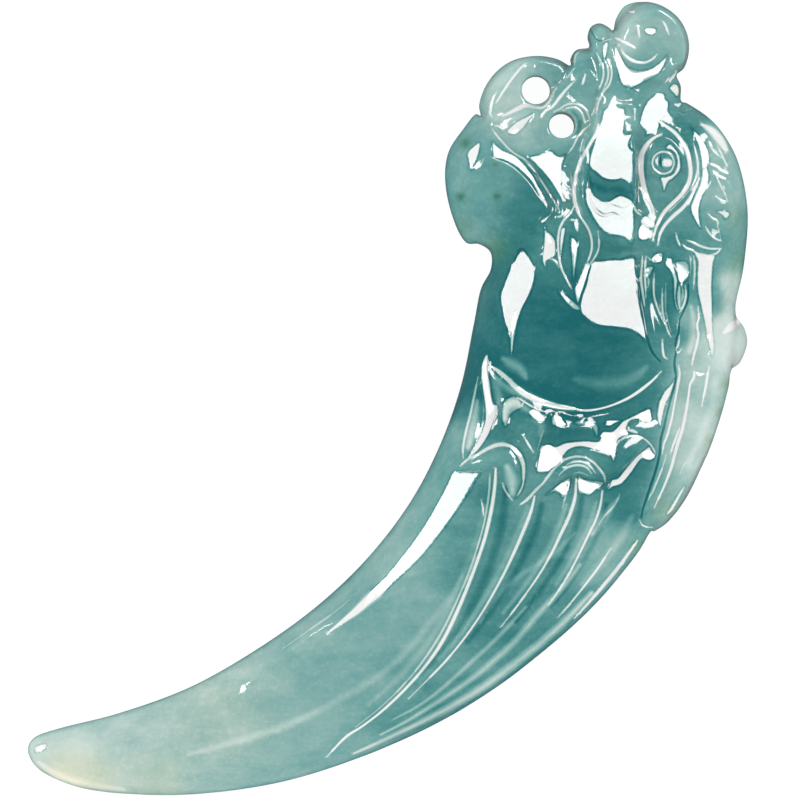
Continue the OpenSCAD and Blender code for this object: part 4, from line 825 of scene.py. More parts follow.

# Broad soft swells and hollows: rows of X, Y and half width, then the height and how much paler it is
# painted; some paint light and shade, as noted below
swells = {
    "crestLine": ([
        (5.2, -12.4, 0.2), (4.3, -14.0, 0.35), (3.0, -15.6, 0.4), (1.6, -17.3, 0.4), (-0.2, -19.0, 0.4),
        (-3.0, -20.8, 0.4), (-7.0, -22.8, 0.4), (-11.0, -24.1, 0.4), (-14.0, -24.9, 0.2),
    ], 0.04, 0.18),
    # oneLeft to fourRight: painted light beside each feather on its left and painted shade on its right
    "oneLeft": ([
        (6.75, -7.5, 0.25), (6.1, -10.2, 0.4), (5.1, -12.8, 0.4), (3.9, -15.3, 0.4), (2.4, -17.6, 0.4),
        (0.5, -19.7, 0.35), (-1.4, -21.4, 0.2),
    ], 0.04, 0.16),
    "oneRight": ([
        (8.2, -6.3, 0.3), (8.0, -8.4, 0.5), (7.5, -10.5, 0.5), (6.8, -12.5, 0.5), (5.9, -14.4, 0.45),
        (4.9, -16.1, 0.4), (3.7, -17.7, 0.35), (2.2, -19.2, 0.3),
    ], -0.1, -0.22),
    "twoLeft": ([
        (9.75, -7.6, 0.2), (9.1, -9.3, 0.35), (8.3, -11.1, 0.35), (7.3, -13.0, 0.35), (6.2, -14.8, 0.3),
        (5.0, -16.5, 0.25), (3.5, -18.2, 0.2),
    ], 0.04, 0.24),
    "twoRight": ([
        (10.7, -7.4, 0.3), (10.3, -9.0, 0.45), (9.6, -10.7, 0.4), (8.8, -12.3, 0.35), (7.8, -13.9, 0.35),
        (6.8, -15.4, 0.3), (5.5, -17.0, 0.25),
    ], -0.1, -0.24),
    "threeLeft": ([
        (12.4, -7.4, 0.2), (11.85, -9.1, 0.35), (11.1, -10.7, 0.35), (10.2, -12.1, 0.3), (9.2, -13.5, 0.25),
        (8.0, -15.0, 0.2),
    ], 0.04, 0.26),
    "threeRight": ([
        (13.5, -6.9, 0.3), (13.25, -8.4, 0.4), (12.75, -9.8, 0.35), (12.0, -11.3, 0.35), (11.1, -12.7, 0.3),
        (10.0, -14.2, 0.25), (8.9, -15.6, 0.2),
    ], -0.1, -0.24),
    "fourLeft": ([
        (14.5, -7.3, 0.2), (14.05, -8.8, 0.3), (13.4, -10.1, 0.3), (12.6, -11.6, 0.25), (11.7, -13.0, 0.2),
    ], 0.04, 0.24),
    "fourRight": ([
        (15.2, -7.4, 0.25), (14.9, -8.7, 0.3), (14.3, -10.1, 0.3), (13.5, -11.6, 0.3), (12.5, -13.1, 0.25),
        (11.4, -14.6, 0.2),
    ], -0.1, -0.2),
    "blade": ([(16.1, -6.9, 0.15), (15.4, -7.8, 0.35), (14.8, -8.7, 0.4), (14.2, -9.5, 0.2)], 0.0, 0.35),
    "bladeLong": ([
        (13.0, -9.4, 0.15), (11.7, -10.7, 0.25), (9.9, -11.9, 0.3), (8.4, -13.0, 0.3), (7.3, -14.3, 0.25),
        (6.4, -15.7, 0.15),
    ], 0.0, 0.22),
    # paleRim to rightRim: painted reflections along the lower rim and in the flutes
    "paleRim": ([
        (14.2, -13.6, 0.28), (12.4, -15.5, 0.36), (11.0, -16.8, 0.42), (9.1, -18.35, 0.44),
        (6.9, -20.0, 0.42), (4.5, -21.5, 0.36), (2.1, -22.75, 0.3), (-0.4, -23.95, 0.22),
        (-2.4, -24.85, 0.12),
    ], 0.04, 0.6),
    "paleFlute": ([
        (13.4, -11.6, 0.2), (12.2, -13.2, 0.28), (10.6, -14.9, 0.32), (8.8, -17.0, 0.34), (7.5, -18.2, 0.34),
        (6.2, -19.3, 0.32), (4.6, -20.45, 0.28), (3.0, -21.5, 0.24), (1.3, -22.55, 0.18), (-0.5, -23.5, 0.1),
    ], 0.0, 0.5),
    "lowFlute": ([
        (9.6, -14.6, 0.15), (8.3, -16.0, 0.22), (7.0, -17.3, 0.24), (5.8, -18.4, 0.24), (4.5, -19.6, 0.22),
        (3.2, -20.7, 0.18), (1.9, -21.6, 0.14), (0.4, -22.4, 0.08),
    ], 0.0, 0.4),
    "rightRim": ([(17.0, -8.2, 0.3), (16.2, -9.8, 0.5), (15.0, -11.4, 0.5), (13.6, -13.0, 0.4)], 0.0, 0.2),
    "frostOne": ([
        (8.15, -1.5, 0.2), (8.25, -0.6, 0.4), (8.9, -0.3, 0.45), (9.5, -0.7, 0.35), (10.2, -1.1, 0.25),
    ], 0.0, 0.5),
    "brimFrost": ([
        (7.3, 1.7, 0.15), (8.3, 0.75, 0.4), (9.2, 0.3, 0.4), (10.0, -0.1, 0.35), (11.0, -0.5, 0.3),
        (12.1, -0.75, 0.25), (13.5, -0.85, 0.12),
    ], 0.0, 0.45),
    "frostTwo": ([(10.2, -1.5, 0.3), (10.7, -1.9, 0.4), (10.6, -2.6, 0.3)], 0.0, 0.25),
    "frostThree": ([(11.6, -1.7, 0.3), (12.6, -1.9, 0.4), (13.8, -1.9, 0.4), (14.4, -2.1, 0.3)], 0.0, 0.25),
    "frostFour": ([(7.25, 1.7, 0.2), (7.55, 0.8, 0.5), (7.75, 0.1, 0.45), (7.7, -0.4, 0.25)], 0.0, 0.4),
    "frostFive": ([(6.2, -0.2, 0.2), (5.95, -1.9, 0.5), (5.6, -3.4, 0.35)], 0.0, 0.55),
    "frostSix": ([(8.3, -4.8, 0.35), (8.6, -5.7, 0.6), (8.65, -6.6, 0.35)], 0.0, 0.5),
    "cheekShade": ([
        (14.2, 14.9, 0.3), (15.0, 14.5, 0.4), (16.0, 14.5, 0.35), (16.9, 14.3, 0.25),
    ], 0.0, -0.15),
    # bowlPanel and bowlLeft: painted soft reflections on the bowl
    "bowlPanel": ([
        (13.0, 1.3, 0.3), (14.6, 1.0, 0.7), (16.0, 1.05, 0.7), (17.2, 1.5, 0.55), (18.0, 2.2, 0.3),
    ], 0.06, 0.24),
    "bowlLeft": ([(8.0, 2.75, 0.25), (8.6, 2.4, 0.6), (9.2, 2.0, 0.55), (9.6, 1.4, 0.3)], 0.04, 0.45),
    "mouthGap": ([(14.9, 10.5, 0.5), (15.9, 10.45, 0.6), (16.9, 10.35, 0.5)], -0.35, -0.1),
    "faceGroove": ([
        (7.6, 19.1, 0.2), (8.3, 17.9, 0.3), (9.4, 16.8, 0.35), (10.4, 15.6, 0.35), (11.2, 14.4, 0.4),
        (11.6, 13.2, 0.4), (11.0, 12.4, 0.3),
    ], -0.45, 0.0),
    "beardStrand": ([
        (17.8, 9.6, 0.3), (17.9, 7.5, 0.4), (18.3, 5.5, 0.4), (18.8, 3.8, 0.4), (19.2, 2.8, 0.3),
    ], 0.15, 0.0),
    "beardHollow": ([
        (18.6, 9.0, 0.25), (18.8, 7.8, 0.35), (19.2, 6.4, 0.35), (19.7, 5.0, 0.3), (20.0, 4.0, 0.2),
    ], -0.15, 0.0),
    "dropForm": ([(19.5, 9.3, 0.3), (20.2, 8.4, 0.55), (20.4, 7.2, 0.5), (20.3, 6.1, 0.25)], 0.2, 0.1),
    "cheekRoll": ([
        (13.4, 17.4, 0.25), (13.15, 15.8, 0.35), (13.2, 14.2, 0.35), (13.7, 12.6, 0.35), (14.4, 11.2, 0.3),
        (14.3, 9.9, 0.2),
    ], 0.2, 0.05),
    "fangForm": ([(12.9, 12.4, 0.4), (12.9, 10.8, 0.75), (12.9, 9.4, 0.7), (13.0, 7.8, 0.3)], 0.3, -0.1),
    "eyeBank": ([
        (20.9, 18.2, 0.3), (21.5, 17.0, 0.4), (21.7, 15.6, 0.4), (21.2, 14.0, 0.4), (20.0, 12.6, 0.35),
        (19.0, 11.4, 0.25),
    ], 0.2, 0.0),
    "tuftBed": ([
        (22.7, 17.2, 0.3), (23.2, 15.6, 0.5), (23.2, 14.0, 0.5), (23.0, 12.2, 0.5), (22.9, 10.9, 0.3),
    ], 0.12, 0.05),
    "bandHeart": ([(21.1, 6.4, 0.2), (21.3, 5.3, 0.35), (21.25, 4.2, 0.4), (21.0, 3.2, 0.3)], 0.0, 0.3),
    # tipGlow, crestGlow and lobeGlow: painted soft highlights
    "tipGlow": ([
        (-24.5, -25.5, 0.2), (-23.0, -26.5, 0.45), (-20.8, -27.1, 0.4), (-18.5, -27.4, 0.2),
    ], 0.0, 0.3),
    "crestGlow": ([(21.9, 19.1, 0.15), (22.6, 18.65, 0.35), (23.2, 18.0, 0.4), (23.6, 17.3, 0.2)], 0.0, 1.2),
    "lobeGlow": ([(23.5, 4.6, 0.15), (24.0, 5.0, 0.35), (24.6, 5.4, 0.25)], 0.0, 0.8),
    "dishShade": ([
        (12.9, 20.0, 0.12), (13.3, 19.5, 0.22), (13.35, 18.8, 0.24), (13.0, 18.2, 0.12),
    ], 0.0, -0.35),
    # neckTip: painted highlight, the narrow tip of the neck's lamp reflection
    "neckTip": ([(8.6, 3.1, 0.04), (8.66, 4.2, 0.14), (8.75, 5.2, 0.22), (8.9, 6.0, 0.1)], 0.0, 1.2),
    "finWide": ([(22.9, 1.5, 0.3), (22.6, -0.5, 0.5), (21.8, -2.8, 0.5), (20.9, -4.6, 0.3)], 0.08, 0.1),
}


def smoothRun(rows, steps, closed=False):  # a soft curve through the rows
    rows = np.array(rows, float)
    count = len(rows)
    spans = count if closed else count - 1
    run = []
    for i in range(spans):
        if closed:
            a, b, c, d = (rows[(i + k) % count] for k in (-1, 0, 1, 2))
        else:
            a, b, c, d = (rows[min(max(i + k, 0), count - 1)] for k in (-1, 0, 1, 2))
        for s in range(steps):
            u = s / steps
            run.append(0.5 * (2 * b + (c - a) * u + (2 * a - 5 * b + 4 * c - d) * u * u
                              + (3 * b - a - 3 * c + d) * u ** 3))
    if not closed:
        run.append(rows[-1])
    return np.array(run)


def evenSteps(path, spacing, closed=True):
    if closed:
        path = np.vstack([path, path[:1]])
    reach = np.concatenate([[0], np.cumsum(np.linalg.norm(np.diff(path[:, :2], axis=0), axis=1))])
    count = max(int(round(reach[-1] / spacing)), 2)
    marks = np.linspace(0, reach[-1], count, endpoint=not closed)
    return np.stack([np.interp(marks, reach, path[:, k]) for k in range(path.shape[1])], axis=1)


def stoneEdge(v):
    return evenSteps(smoothRun(outlinePoints, curveSteps["outline"], closed=True), v["edgeStep"])


def softLoop(edge):
    return smoothRun(edge, curveSteps["loop"], closed=True)


def closedPath(loop):
    return np.vstack([loop, loop[:1]])


def nearestOn(points, path):  # distance to the path, and place along it in rows
    tree = KDTree(len(path))
    for i, (x, y) in enumerate(path.tolist()):
        tree.insert((x, y, 0), i)
    tree.balance()
    closest = np.array([tree.find((x, y, 0))[1] for x, y in points.tolist()], int).reshape(-1)
    far = np.full(len(points), np.inf)
    place = np.zeros(len(points))
    for shift in (-1, 0):
        i = np.clip(closest + shift, 0, len(path) - 2)
        step = path[i + 1] - path[i]
        gap = points - path[i]
        t = np.clip((gap * step).sum(1) / np.maximum((step ** 2).sum(1), 1e-12), 0, 1)
        off = gap - t[:, None] * step
        d = np.hypot(off[:, 0], off[:, 1])
        better = d < far
        far[better] = d[better]
        place[better] = (i + t)[better]
    return far, place


def insideLoop(points, loop):
    ahead = np.roll(loop, -1, axis=0)
    hits = np.zeros(len(points), int)
    for (x0, y0), (x1, y1) in zip(loop, ahead):
        if y0 == y1:
            continue
        crosses = (points[:, 1] > y0) != (points[:, 1] > y1)
        hits += crosses & (points[:, 0] < x0 + (points[:, 1] - y0) * (x1 - x0) / (y1 - y0))
    return hits % 2 == 1


def near(points, path, reach):
    low, high = path.min(0) - reach, path.max(0) + reach
    return np.nonzero(((points > low) & (points < high)).all(1))[0]


def within(points, loop):
    pick = near(points, loop, 0)
    return pick[insideLoop(points[pick], loop)]


def swell(x, power):  # 0 at an edge with a steep start, 1 on the crown
    x = np.clip(x, 0, 1)
    return (1 - (1 - x) ** power) ** (1 / power)


def ease(x):
    x = np.clip(x, 0, 1)
    return x * x * (3 - 2 * x)


def roundedDrop(far, radius):  # how far a rounded edge falls below the face
    out = np.clip(1 - far / radius, 0, 1)
    return radius * (1 - np.sqrt(1 - out ** 2))


def softMax(a, b, fillet):
    return np.maximum(a, b) + np.clip(fillet - np.abs(a - b), 0, None) ** 2 / (4 * fillet)


def raiseForm(points, heights, rows, leftFoot, rightFoot, fillet):
    run = smoothRun(rows, curveSteps["form"])
    left, right = run[:, 0:2], run[:, 2:4]
    pick = within(points, np.vstack([left, right[::-1]]))
    p = points[pick]
    farLeft, alongLeft = nearestOn(p, left)
    farRight, alongRight = nearestOn(p, right)
    share = farLeft / (farLeft + farRight + 1e-9)
    along = alongLeft * (1 - share) + alongRight * share
    crown, leftRun, rightRun = (np.interp(along, np.arange(len(run)), run[:, k]) for k in (4, 5, 6))
    rise = crown * (leftFoot + (1 - leftFoot) * swell(farLeft / leftRun, crownPower["form"]))
    rise *= rightFoot + (1 - rightFoot) * swell(farRight / rightRun, crownPower["form"])
    heights[pick] = softMax(heights[pick], rise, fillet)


def raiseBoss(points, heights, x, y, halfWidth, halfLength, height, share, fillet):
    out = np.hypot((points[:, 0] - x) / halfWidth, (points[:, 1] - y) / halfLength)
    pick = np.nonzero(out < 1)[0]
    rise = height * swell((1 - out[pick]) / share, crownPower["boss"])
    heights[pick] = softMax(heights[pick], rise, fillet)


def raisePlate(points, heights, edge, lift, shoulder):
    loop = softLoop(edge)
    pick = within(points, loop)
    inward, _ = nearestOn(points[pick], closedPath(loop))
    heights[pick] += lift * ease(inward / shoulder)


def netEdges(faces):
    pairs = np.sort(np.vstack([faces[:, [0, 1]], faces[:, [1, 2]], faces[:, [2, 0]]]), axis=1)
    return np.unique(pairs, axis=0)


def lampFall(points, heights, start, end):  # how steeply each point falls towards the face lamp
    run = points[end] - points[start]
    rise = heights[end] - heights[start]
    span = (run ** 2).sum(1)
    count = len(heights)

    def around(flow):  # the sum over each point's edges
        return np.bincount(start, flow, count) + np.bincount(end, flow, count)

    xx, xy, yy = (around(run[:, i] * run[:, j] / span) for i, j in ((0, 0), (0, 1), (1, 1)))
    gx, gy = (around(rise * run[:, i] / span) for i in (0, 1))
    det = np.maximum(xx * yy - xy * xy, 1e-9)
    turn = math.radians(lamps["facePanel"][0])
    return -((yy * gx - xy * gy) * math.sin(turn) + (xx * gy - xy * gx) * math.cos(turn)) / det


def cutFacets(points, heights, edges, v):  # lets the stone flow into each cut's flat slope without a step
    start, end = edges[:, 0], edges[:, 1]
    middle = (points[start] + points[end]) / 2
    run = points[end] - points[start]
    rise = heights[end] - heights[start]
    stiff = np.ones(len(edges))
    turn = math.radians(lamps["facePanel"][0])
    toLamp = run[:, 0] * math.sin(turn) + run[:, 1] * math.cos(turn)
    excess = np.clip(lampFall(points, heights, start, end) - v["quietFall"], 0, v["mostQuieted"])
    rise += (excess[start] + excess[end]) / 2 * toLamp  # only the cuts mirror the lamp
    for edge, bearing, lean, firmness, *_ in facets.values():
        loop = softLoop(edge)
        pick = within(middle, loop)
        inward, _ = nearestOn(middle[pick], closedPath(loop))
        turn, fall = math.radians(bearing), math.tan(math.radians(lean))
        wanted = -fall * (run[pick, 0] * math.sin(turn) + run[pick, 1] * math.cos(turn))
        blend = ease(inward / v["cutBlend"])
        rise[pick] = rise[pick] * (1 - blend) + wanted * blend
        stiff[pick] = stiff[pick] * (1 - blend) + firmness * blend
    return settle(heights, start, end, rise, stiff, v["settleRounds"])


def settle(heights, start, end, rise, stiff, rounds):  # heights whose steps come nearest to rise
    count = len(heights)
    hold = 0.01  # how firmly each point keeps its own height

    def gathered(flow):
        return np.bincount(end, flow, count) - np.bincount(start, flow, count)

    def shape(h):
        return gathered(stiff * (h[end] - h[start])) + hold * h

    weight = np.bincount(end, stiff, count) + np.bincount(start, stiff, count) + hold
    now = heights.copy()
    left = gathered(stiff * rise) + hold * heights - shape(now)
    way = left / weight
    size = (left * way).sum()
    for _ in range(rounds):
        pull = shape(way)
        step = size / (way * pull).sum()
        now += step * way
        left -= step * pull
        eased = left / weight
        grown = (left * eased).sum()
        way = eased + grown / size * way
        size = grown
    return now


def evenTies(points, faces):  # each edge with a weight that leaves a flat slope as it is
    starts, ends, weights = [], [], []
    for a, b, c in ((0, 1, 2), (1, 2, 0), (2, 0, 1)):
        one = points[faces[:, a]] - points[faces[:, c]]
        two = points[faces[:, b]] - points[faces[:, c]]
        cross = np.abs(one[:, 0] * two[:, 1] - one[:, 1] * two[:, 0])
        starts.append(faces[:, a])
        ends.append(faces[:, b])
        weights.append((one * two).sum(1) / np.maximum(cross, 1e-6))
    return np.concatenate(starts), np.concatenate(ends), np.concatenate(weights)


def worn(heights, ties, rounds):  # the heights after each point has settled towards its neighbours
    start, end, weight = ties
    count = len(heights)
    total = np.maximum(np.bincount(start, weight, count) + np.bincount(end, weight, count), 0.1)
    for _ in range(rounds):
        pull = weight * (heights[end] - heights[start])
        flow = np.bincount(start, pull, count) - np.bincount(end, pull, count)
        heights = heights + 0.5 * flow / total
    return heights


def strokeShape(points, rows, reach=1.0):  # how far each point is from a stroke's middle, in half widths
    run = smoothRun(rows, curveSteps["stroke"])
    path, half = run[:, :2], run[:, 2]
    pick = near(points, path, half.max() * reach)
    far, along = nearestOn(points[pick], path)
    width = np.interp(along, np.arange(len(run)), half)
    return pick, far / width, width


def hump(out):  # 1 on a stroke's middle, 0 at its edges
    return (1 - np.clip(out, 0, 1) ** 2) ** 2


def widest(rows):
    return max(row[2] for row in rows)


def relief(points, faces, v):
    edges, ties = netEdges(faces), evenTies(points, faces)
    heights = np.full(len(points), v["ground"])
    for name, row in forms.items():
        raiseForm(points, heights, *row)
        if name == "body":
            heights = worn(heights, ties, v["bodyWear"])
    for row in bosses.values():
        raiseBoss(points, heights, *row)
    for rows, lift, _ in swells.values():
        pick, out, width = strokeShape(points, rows)
        heights[pick] += lift * width / widest(rows) * hump(out)
    for row in plates.values():
        raisePlate(points, heights, *row)
    heights = worn(heights, ties, v["formWear"])
    heights = cutFacets(points, heights, edges, v)
    for rows, steep, _ in strokes.values():
        pick, out, width = strokeShape(points, rows)
        heights[pick] += steep * v["strokeRise"] * width * hump(out)
    return heights


netSetup = {  # mm, unless it says share
    "cell": 0.1,
    "ringShare": 0.92,  # share of its distance from the edge that a row keeps at corners
    "ringGap": 0.3,  # share of its distance between its points
    "holeRows": (0.04, 0.1, 0.18, 0.28),
    "holeGap": 0.03,
    "holeShare": 0.999,  # a triangle with its middle nearer than this share of a hole's radius is cut out
    "lineStep": 0.12,  # along a carved line
    "lineGap": 0.033,
    "lineRimShare": 0.15,  # share of the rim's width that a carved line keeps clear of
    "strokeRows": (0, -0.55, 0.55, -1, 1, -1.6, 1.6),  # share of a stroke's half width
    "cutRows": (0, stone["cutBlend"], -0.06, -0.14),  # inward of a cut's edge
    "plateRows": (0, 0.12),  # and of a plate's
    "fillGap": 0.62,  # share of the step between filling points
    "backGap": 0.5,
    "swellWidth": 0.45,  # a swell gets its own points if it is no wider
    "swellPale": 0.25,  # and paler
    "carvedBox": ((2.5, -13.5), (26.0, 28.2)),
    "plainBox": ((-26.0, -28.2), (26.0, -1.5)),
    "backBox": ((-26.0, -28.2), (26.0, 28.2)),
    "carvedFoot": (0.75, -6),  # the carved part is where Y + 0.75 X is over -6
}


def holeLoop(row, sides, spread=0.0):
    x, y, radius = row
    turn = np.linspace(0, 2 * math.pi, sides, endpoint=False)
    return np.stack([x + (radius + spread) * np.cos(turn), y + (radius + spread) * np.sin(turn)], axis=1)


def hexPoints(box, step):
    (left, low), (right, high) = box
    rows = []
    for k, y in enumerate(np.arange(low, high, step * math.sqrt(3) / 2)):
        xs = np.arange(left + (k % 2) * step / 2, right, step)
        rows.append(np.stack([xs, np.full(len(xs), y)], axis=1))
    return np.vstack(rows)


def sideways(path, closed):  # unit vectors to the left of a path
    if closed:
        ahead = np.roll(path, -1, axis=0) - np.roll(path, 1, axis=0)
    else:
        ahead = np.gradient(path, axis=0)
    ahead = ahead / np.maximum(np.linalg.norm(ahead, axis=1), 1e-9)[:, None]
    return np.stack([-ahead[:, 1], ahead[:, 0]], axis=1)


def inwardOf(loop):
    area = np.sum(loop[:, 0] * np.roll(loop[:, 1], -1) - np.roll(loop[:, 0], -1) * loop[:, 1])
    return sideways(loop, True) * math.copysign(1, area)


def featureRows(v):  # points along every carved line, so that the net follows it
    lines = [rows for rows, *_ in strokes.values()]
    lines += [rows for rows, _, paler in swells.values()
              if paler > v["swellPale"] and widest(rows) <= v["swellWidth"]]
    found = []
    for line in lines:
        run = evenSteps(smoothRun(line, curveSteps["stroke"]), v["lineStep"], closed=False)
        path, half = run[:, :2], run[:, 2:3]
        left = sideways(path, False)
        found += [path + left * half * d for d in v["strokeRows"]]
    for table, offsets in ((facets, v["cutRows"]), (plates, v["plateRows"])):
        for edge, *_ in table.values():
            loop = evenSteps(softLoop(edge), v["lineStep"])
            found += [loop + inwardOf(loop) * d for d in offsets]
    return np.vstack(found)


class Net:  # keeps points that stand clear of those it already holds
    def __init__(self, cell):
        self.cell = cell
        self.cells = {}
        self.points = []

    def clear(self, x, y, gap):
        i, j = int(x // self.cell), int(y // self.cell)
        reach = int(math.ceil(gap / self.cell))
        for a in range(i - reach, i + reach + 1):
            for b in range(j - reach, j + reach + 1):
                for u, w in self.cells.get((a, b), ()):
                    if (u - x) ** 2 + (w - y) ** 2 < gap * gap:
                        return False
        return True

    def add(self, points, gap):
        for x, y in points.tolist():
            if self.clear(x, y, gap):
                self.points.append((x, y))
                self.cells.setdefault((int(x // self.cell), int(y // self.cell)), []).append((x, y))


def fillPoints(v, fine):  # the inner points, their gap, and how near they come to the rim's last row
    if not fine:
        step = stone["backStep"]
        return [(hexPoints(v["backBox"], step), step * v["backGap"], 1)]
    carved = hexPoints(v["carvedBox"], stone["fineStep"])
    plain = hexPoints(v["plainBox"], stone["plainStep"])
    slope, foot = v["carvedFoot"]
    return [
        (featureRows(v), v["lineGap"], v["lineRimShare"]),
        (carved[carved[:, 1] + slope * carved[:, 0] > foot], stone["fineStep"] * v["fillGap"], 1),
        (plain[plain[:, 1] + slope * plain[:, 0] <= foot], stone["plainStep"] * v["fillGap"], 1),
    ]


def layOut(v, edge, rows, fine):  # a flat net of triangles that fills the outline
    closed = closedPath(edge)
    inward = inwardOf(edge)
    holes = [stone["upperHole"], stone["lowerHole"]]
    sides = stone["holeSides"]
    loops = [edge] + [holeLoop(h, sides) for h in holes]
    net = Net(v["cell"])
    for loop in loops:
        net.add(loop, 0)
    for row in rows:
        ring = edge + inward * row
        far, _ = nearestOn(ring, closed)
        net.add(ring[(far > row * v["ringShare"]) & insideLoop(ring, edge)], row * v["ringGap"])
    for h in holes:
        for row in v["holeRows"]:
            net.add(holeLoop(h, sides, row), v["holeGap"])
    for points, gap, rimShare in fillPoints(v, fine):
        points = points[insideLoop(points, edge)]
        far, _ = nearestOn(points, closed)
        keep = far > rows[-1] * rimShare
        for x, y, radius in holes:
            keep &= np.hypot(points[:, 0] - x, points[:, 1] - y) > radius + v["holeRows"][-1]
        net.add(points[keep], gap)
    edges, start = [], 0
    for loop in loops:
        count = len(loop)
        edges += [(start + i, start + (i + 1) % count) for i in range(count)]
        start += count
    result = delaunay_2d_cdt([Vector(p) for p in net.points], edges, [], 1, 1e-6)
    places = np.array([tuple(p) for p in result[0]])
    faces = np.array([f for f in result[2] if len(f) == 3])
    middle = places[faces].mean(1)
    keep = insideLoop(middle, edge)
    for x, y, radius in holes:
        keep &= np.hypot(middle[:, 0] - x, middle[:, 1] - y) > radius * v["holeShare"]
    return places, faces[keep], [len(loop) for loop in loops]


def roundRows(radius, angles):  # how far from the edge the rows of a rounding lie
    return [radius * (1 - math.cos(math.radians(a))) for a in angles]


def makeStone(v):
    edge = stoneEdge(v)
    front, frontFaces, loops = layOut(netSetup, edge, roundRows(v["rim"][0], v["rimAngles"]), True)
    print("face laid out:", len(front), "points,", len(frontFaces), "triangles")
    height = relief(front, frontFaces, v)
    far, _ = nearestOn(front, closedPath(edge))
    rim = np.interp(front[:, 1], v["crest"], v["rim"])
    height -= roundedDrop(far, np.clip((height - v["waist"]) * v["rimShare"], v["leastRim"], rim))
    for x, y, radius in (v["upperHole"], v["lowerHole"]):
        height -= roundedDrop(np.hypot(front[:, 0] - x, front[:, 1] - y) - radius, v["lip"])
    back, backFaces, _ = layOut(netSetup, edge, roundRows(v["arris"], v["arrisAngles"]), False)
    backFar, _ = nearestOn(back, closedPath(edge))
    backHeight = v["waist"] * (1 - swell(backFar / v["arris"], crownPower["arris"]))
    backIndex = np.arange(len(back)) + len(front)
    places = np.vstack([np.column_stack([front, height]), np.column_stack([back, backHeight])])
    faces = [tuple(f) for f in frontFaces.tolist()]
    faces += [tuple(f[::-1]) for f in backIndex[backFaces].tolist()]
    start = 0
    for count in loops:  # the stone's side, then the walls of the drilled holes
        for i in range(count):
            a, b = start + i, start + (i + 1) % count
            faces.append((a, b, int(backIndex[b]), int(backIndex[a])))
        start += count
    mesh = bpy.data.meshes.new("jadePendant")
    mesh.from_pydata((places * mm).tolist(), [], faces)
    mesh.validate()
    piece = bpy.data.objects.new("jadePendant", mesh)
    bpy.context.collection.objects.link(piece)
    bpy.ops.object.select_all(action="DESELECT")
    piece.select_set(True)
    bpy.context.view_layer.objects.active = piece
    bpy.ops.object.mode_set(mode="EDIT")
    bpy.ops.mesh.select_all(action="SELECT")
    bpy.ops.mesh.normals_make_consistent(inside=False)
    bpy.ops.object.mode_set(mode="OBJECT")
    bpy.ops.object.shade_smooth()
    return piece


# How deep the stone's colour is, from 0 (deep) to 1 (pale): X, Y, tone, how far it reaches
toneMarks = [
    (7.5, 21.9, 0.82, 1.5), (8.5, 20.5, 0.88, 1.2), (12.4, 22.3, 0.55, 1.2), (11.3, 19.8, 0.6, 1.0),
    (13.6, 23.7, 0.45, 0.8), (15.0, 25.4, 0.6, 0.8), (16.8, 25.9, 0.9, 1.0), (18.7, 26.5, 0.65, 1.2),
    (20.4, 24.7, 0.66, 1.0), (19.0, 23.0, 0.52, 1.0), (17.6, 20.5, 0.45, 1.0), (15.7, 21.4, 0.58, 1.0),
    (4.7, 14.6, 0.5, 1.0), (7.1, 14.6, 0.48, 1.4), (6.4, 12.1, 0.52, 1.0), (9.2, 13.2, 0.16, 1.2),
    (6.4, 18.4, 0.5, 1.0), (12.8, 15.0, 0.35, 1.0), (12.0, 10.0, 0.3, 1.0), (15.5, 14.6, 0.22, 1.0),
    (15.9, 10.4, 0.28, 1.0), (19.0, 13.5, 0.35, 1.2), (19.3, 17.5, 0.3, 1.0), (23.9, 15.3, 0.7, 1.2),
    # The mark at 24.5, 7.6 paints a soft highlight on the right rim; the one at 24.3, 3.7 is the lobe's own
    # pale with a painted highlight on it
    (24.3, 11.0, 0.48, 1.2), (24.5, 7.6, 1.05, 0.7), (24.3, 3.7, 1.12, 1.1), (21.1, 5.5, 0.6, 0.6),
    (18.8, 6.5, 0.14, 0.7), (19.6, 6.6, 0.16, 0.6), (18.4, 4.8, 0.14, 0.7), (19.8, 4.2, 0.2, 0.5),
    (18.9, 8.6, 0.22, 0.6), (19.0, 3.2, 0.3, 0.5), (22.3, 7.0, 0.45, 0.6), (21.1, 2.0, 0.85, 1.2),
    (21.1, -2.9, 1.0, 1.4), (19.4, -7.1, 0.68, 1.2), (22.9, -0.1, 0.8, 1.0), (7.1, 6.9, 0.2, 1.4),
    (10.6, 4.8, 0.1, 2.2), (12.7, 2.0, 0.03, 2.6), (17.5, 2.5, 0.06, 1.5), (14.8, -0.5, 0.13, 1.2),
    (9.2, -2.2, 0.32, 1.2), (6.4, -4.3, 0.55, 1.0), (14.1, -4.7, 0.35, 1.2), (17.6, -2.9, 0.32, 1.0),
    (7.8, -7.8, 0.24, 1.8), (12.0, -7.8, 0.42, 1.8), (16.6, -6.4, 0.16, 1.4), (3.6, -9.9, 0.5, 2.0),
    (6.4, -12.0, 0.38, 2.2), (10.6, -14.1, 0.32, 2.2), (14.8, -11.3, 0.6, 1.6), (0.8, -15.5, 0.6, 2.4),
    (2.9, -20.4, 0.31, 2.2), (-2.7, -17.6, 0.58, 2.6), (-4.1, -21.1, 0.57, 2.6), (-9.7, -20.4, 0.8, 3.0),
    (-9.7, -26.0, 0.66, 2.6), (-14.6, -22.5, 0.86, 3.0), (-16.7, -25.3, 0.8, 3.0), (-20.2, -24.3, 0.9, 2.6),
    (-23.0, -26.0, 1.05, 2.0), (0.8, -10.3, 0.78, 1.4), (-6.2, -16.9, 0.74, 1.6),
]

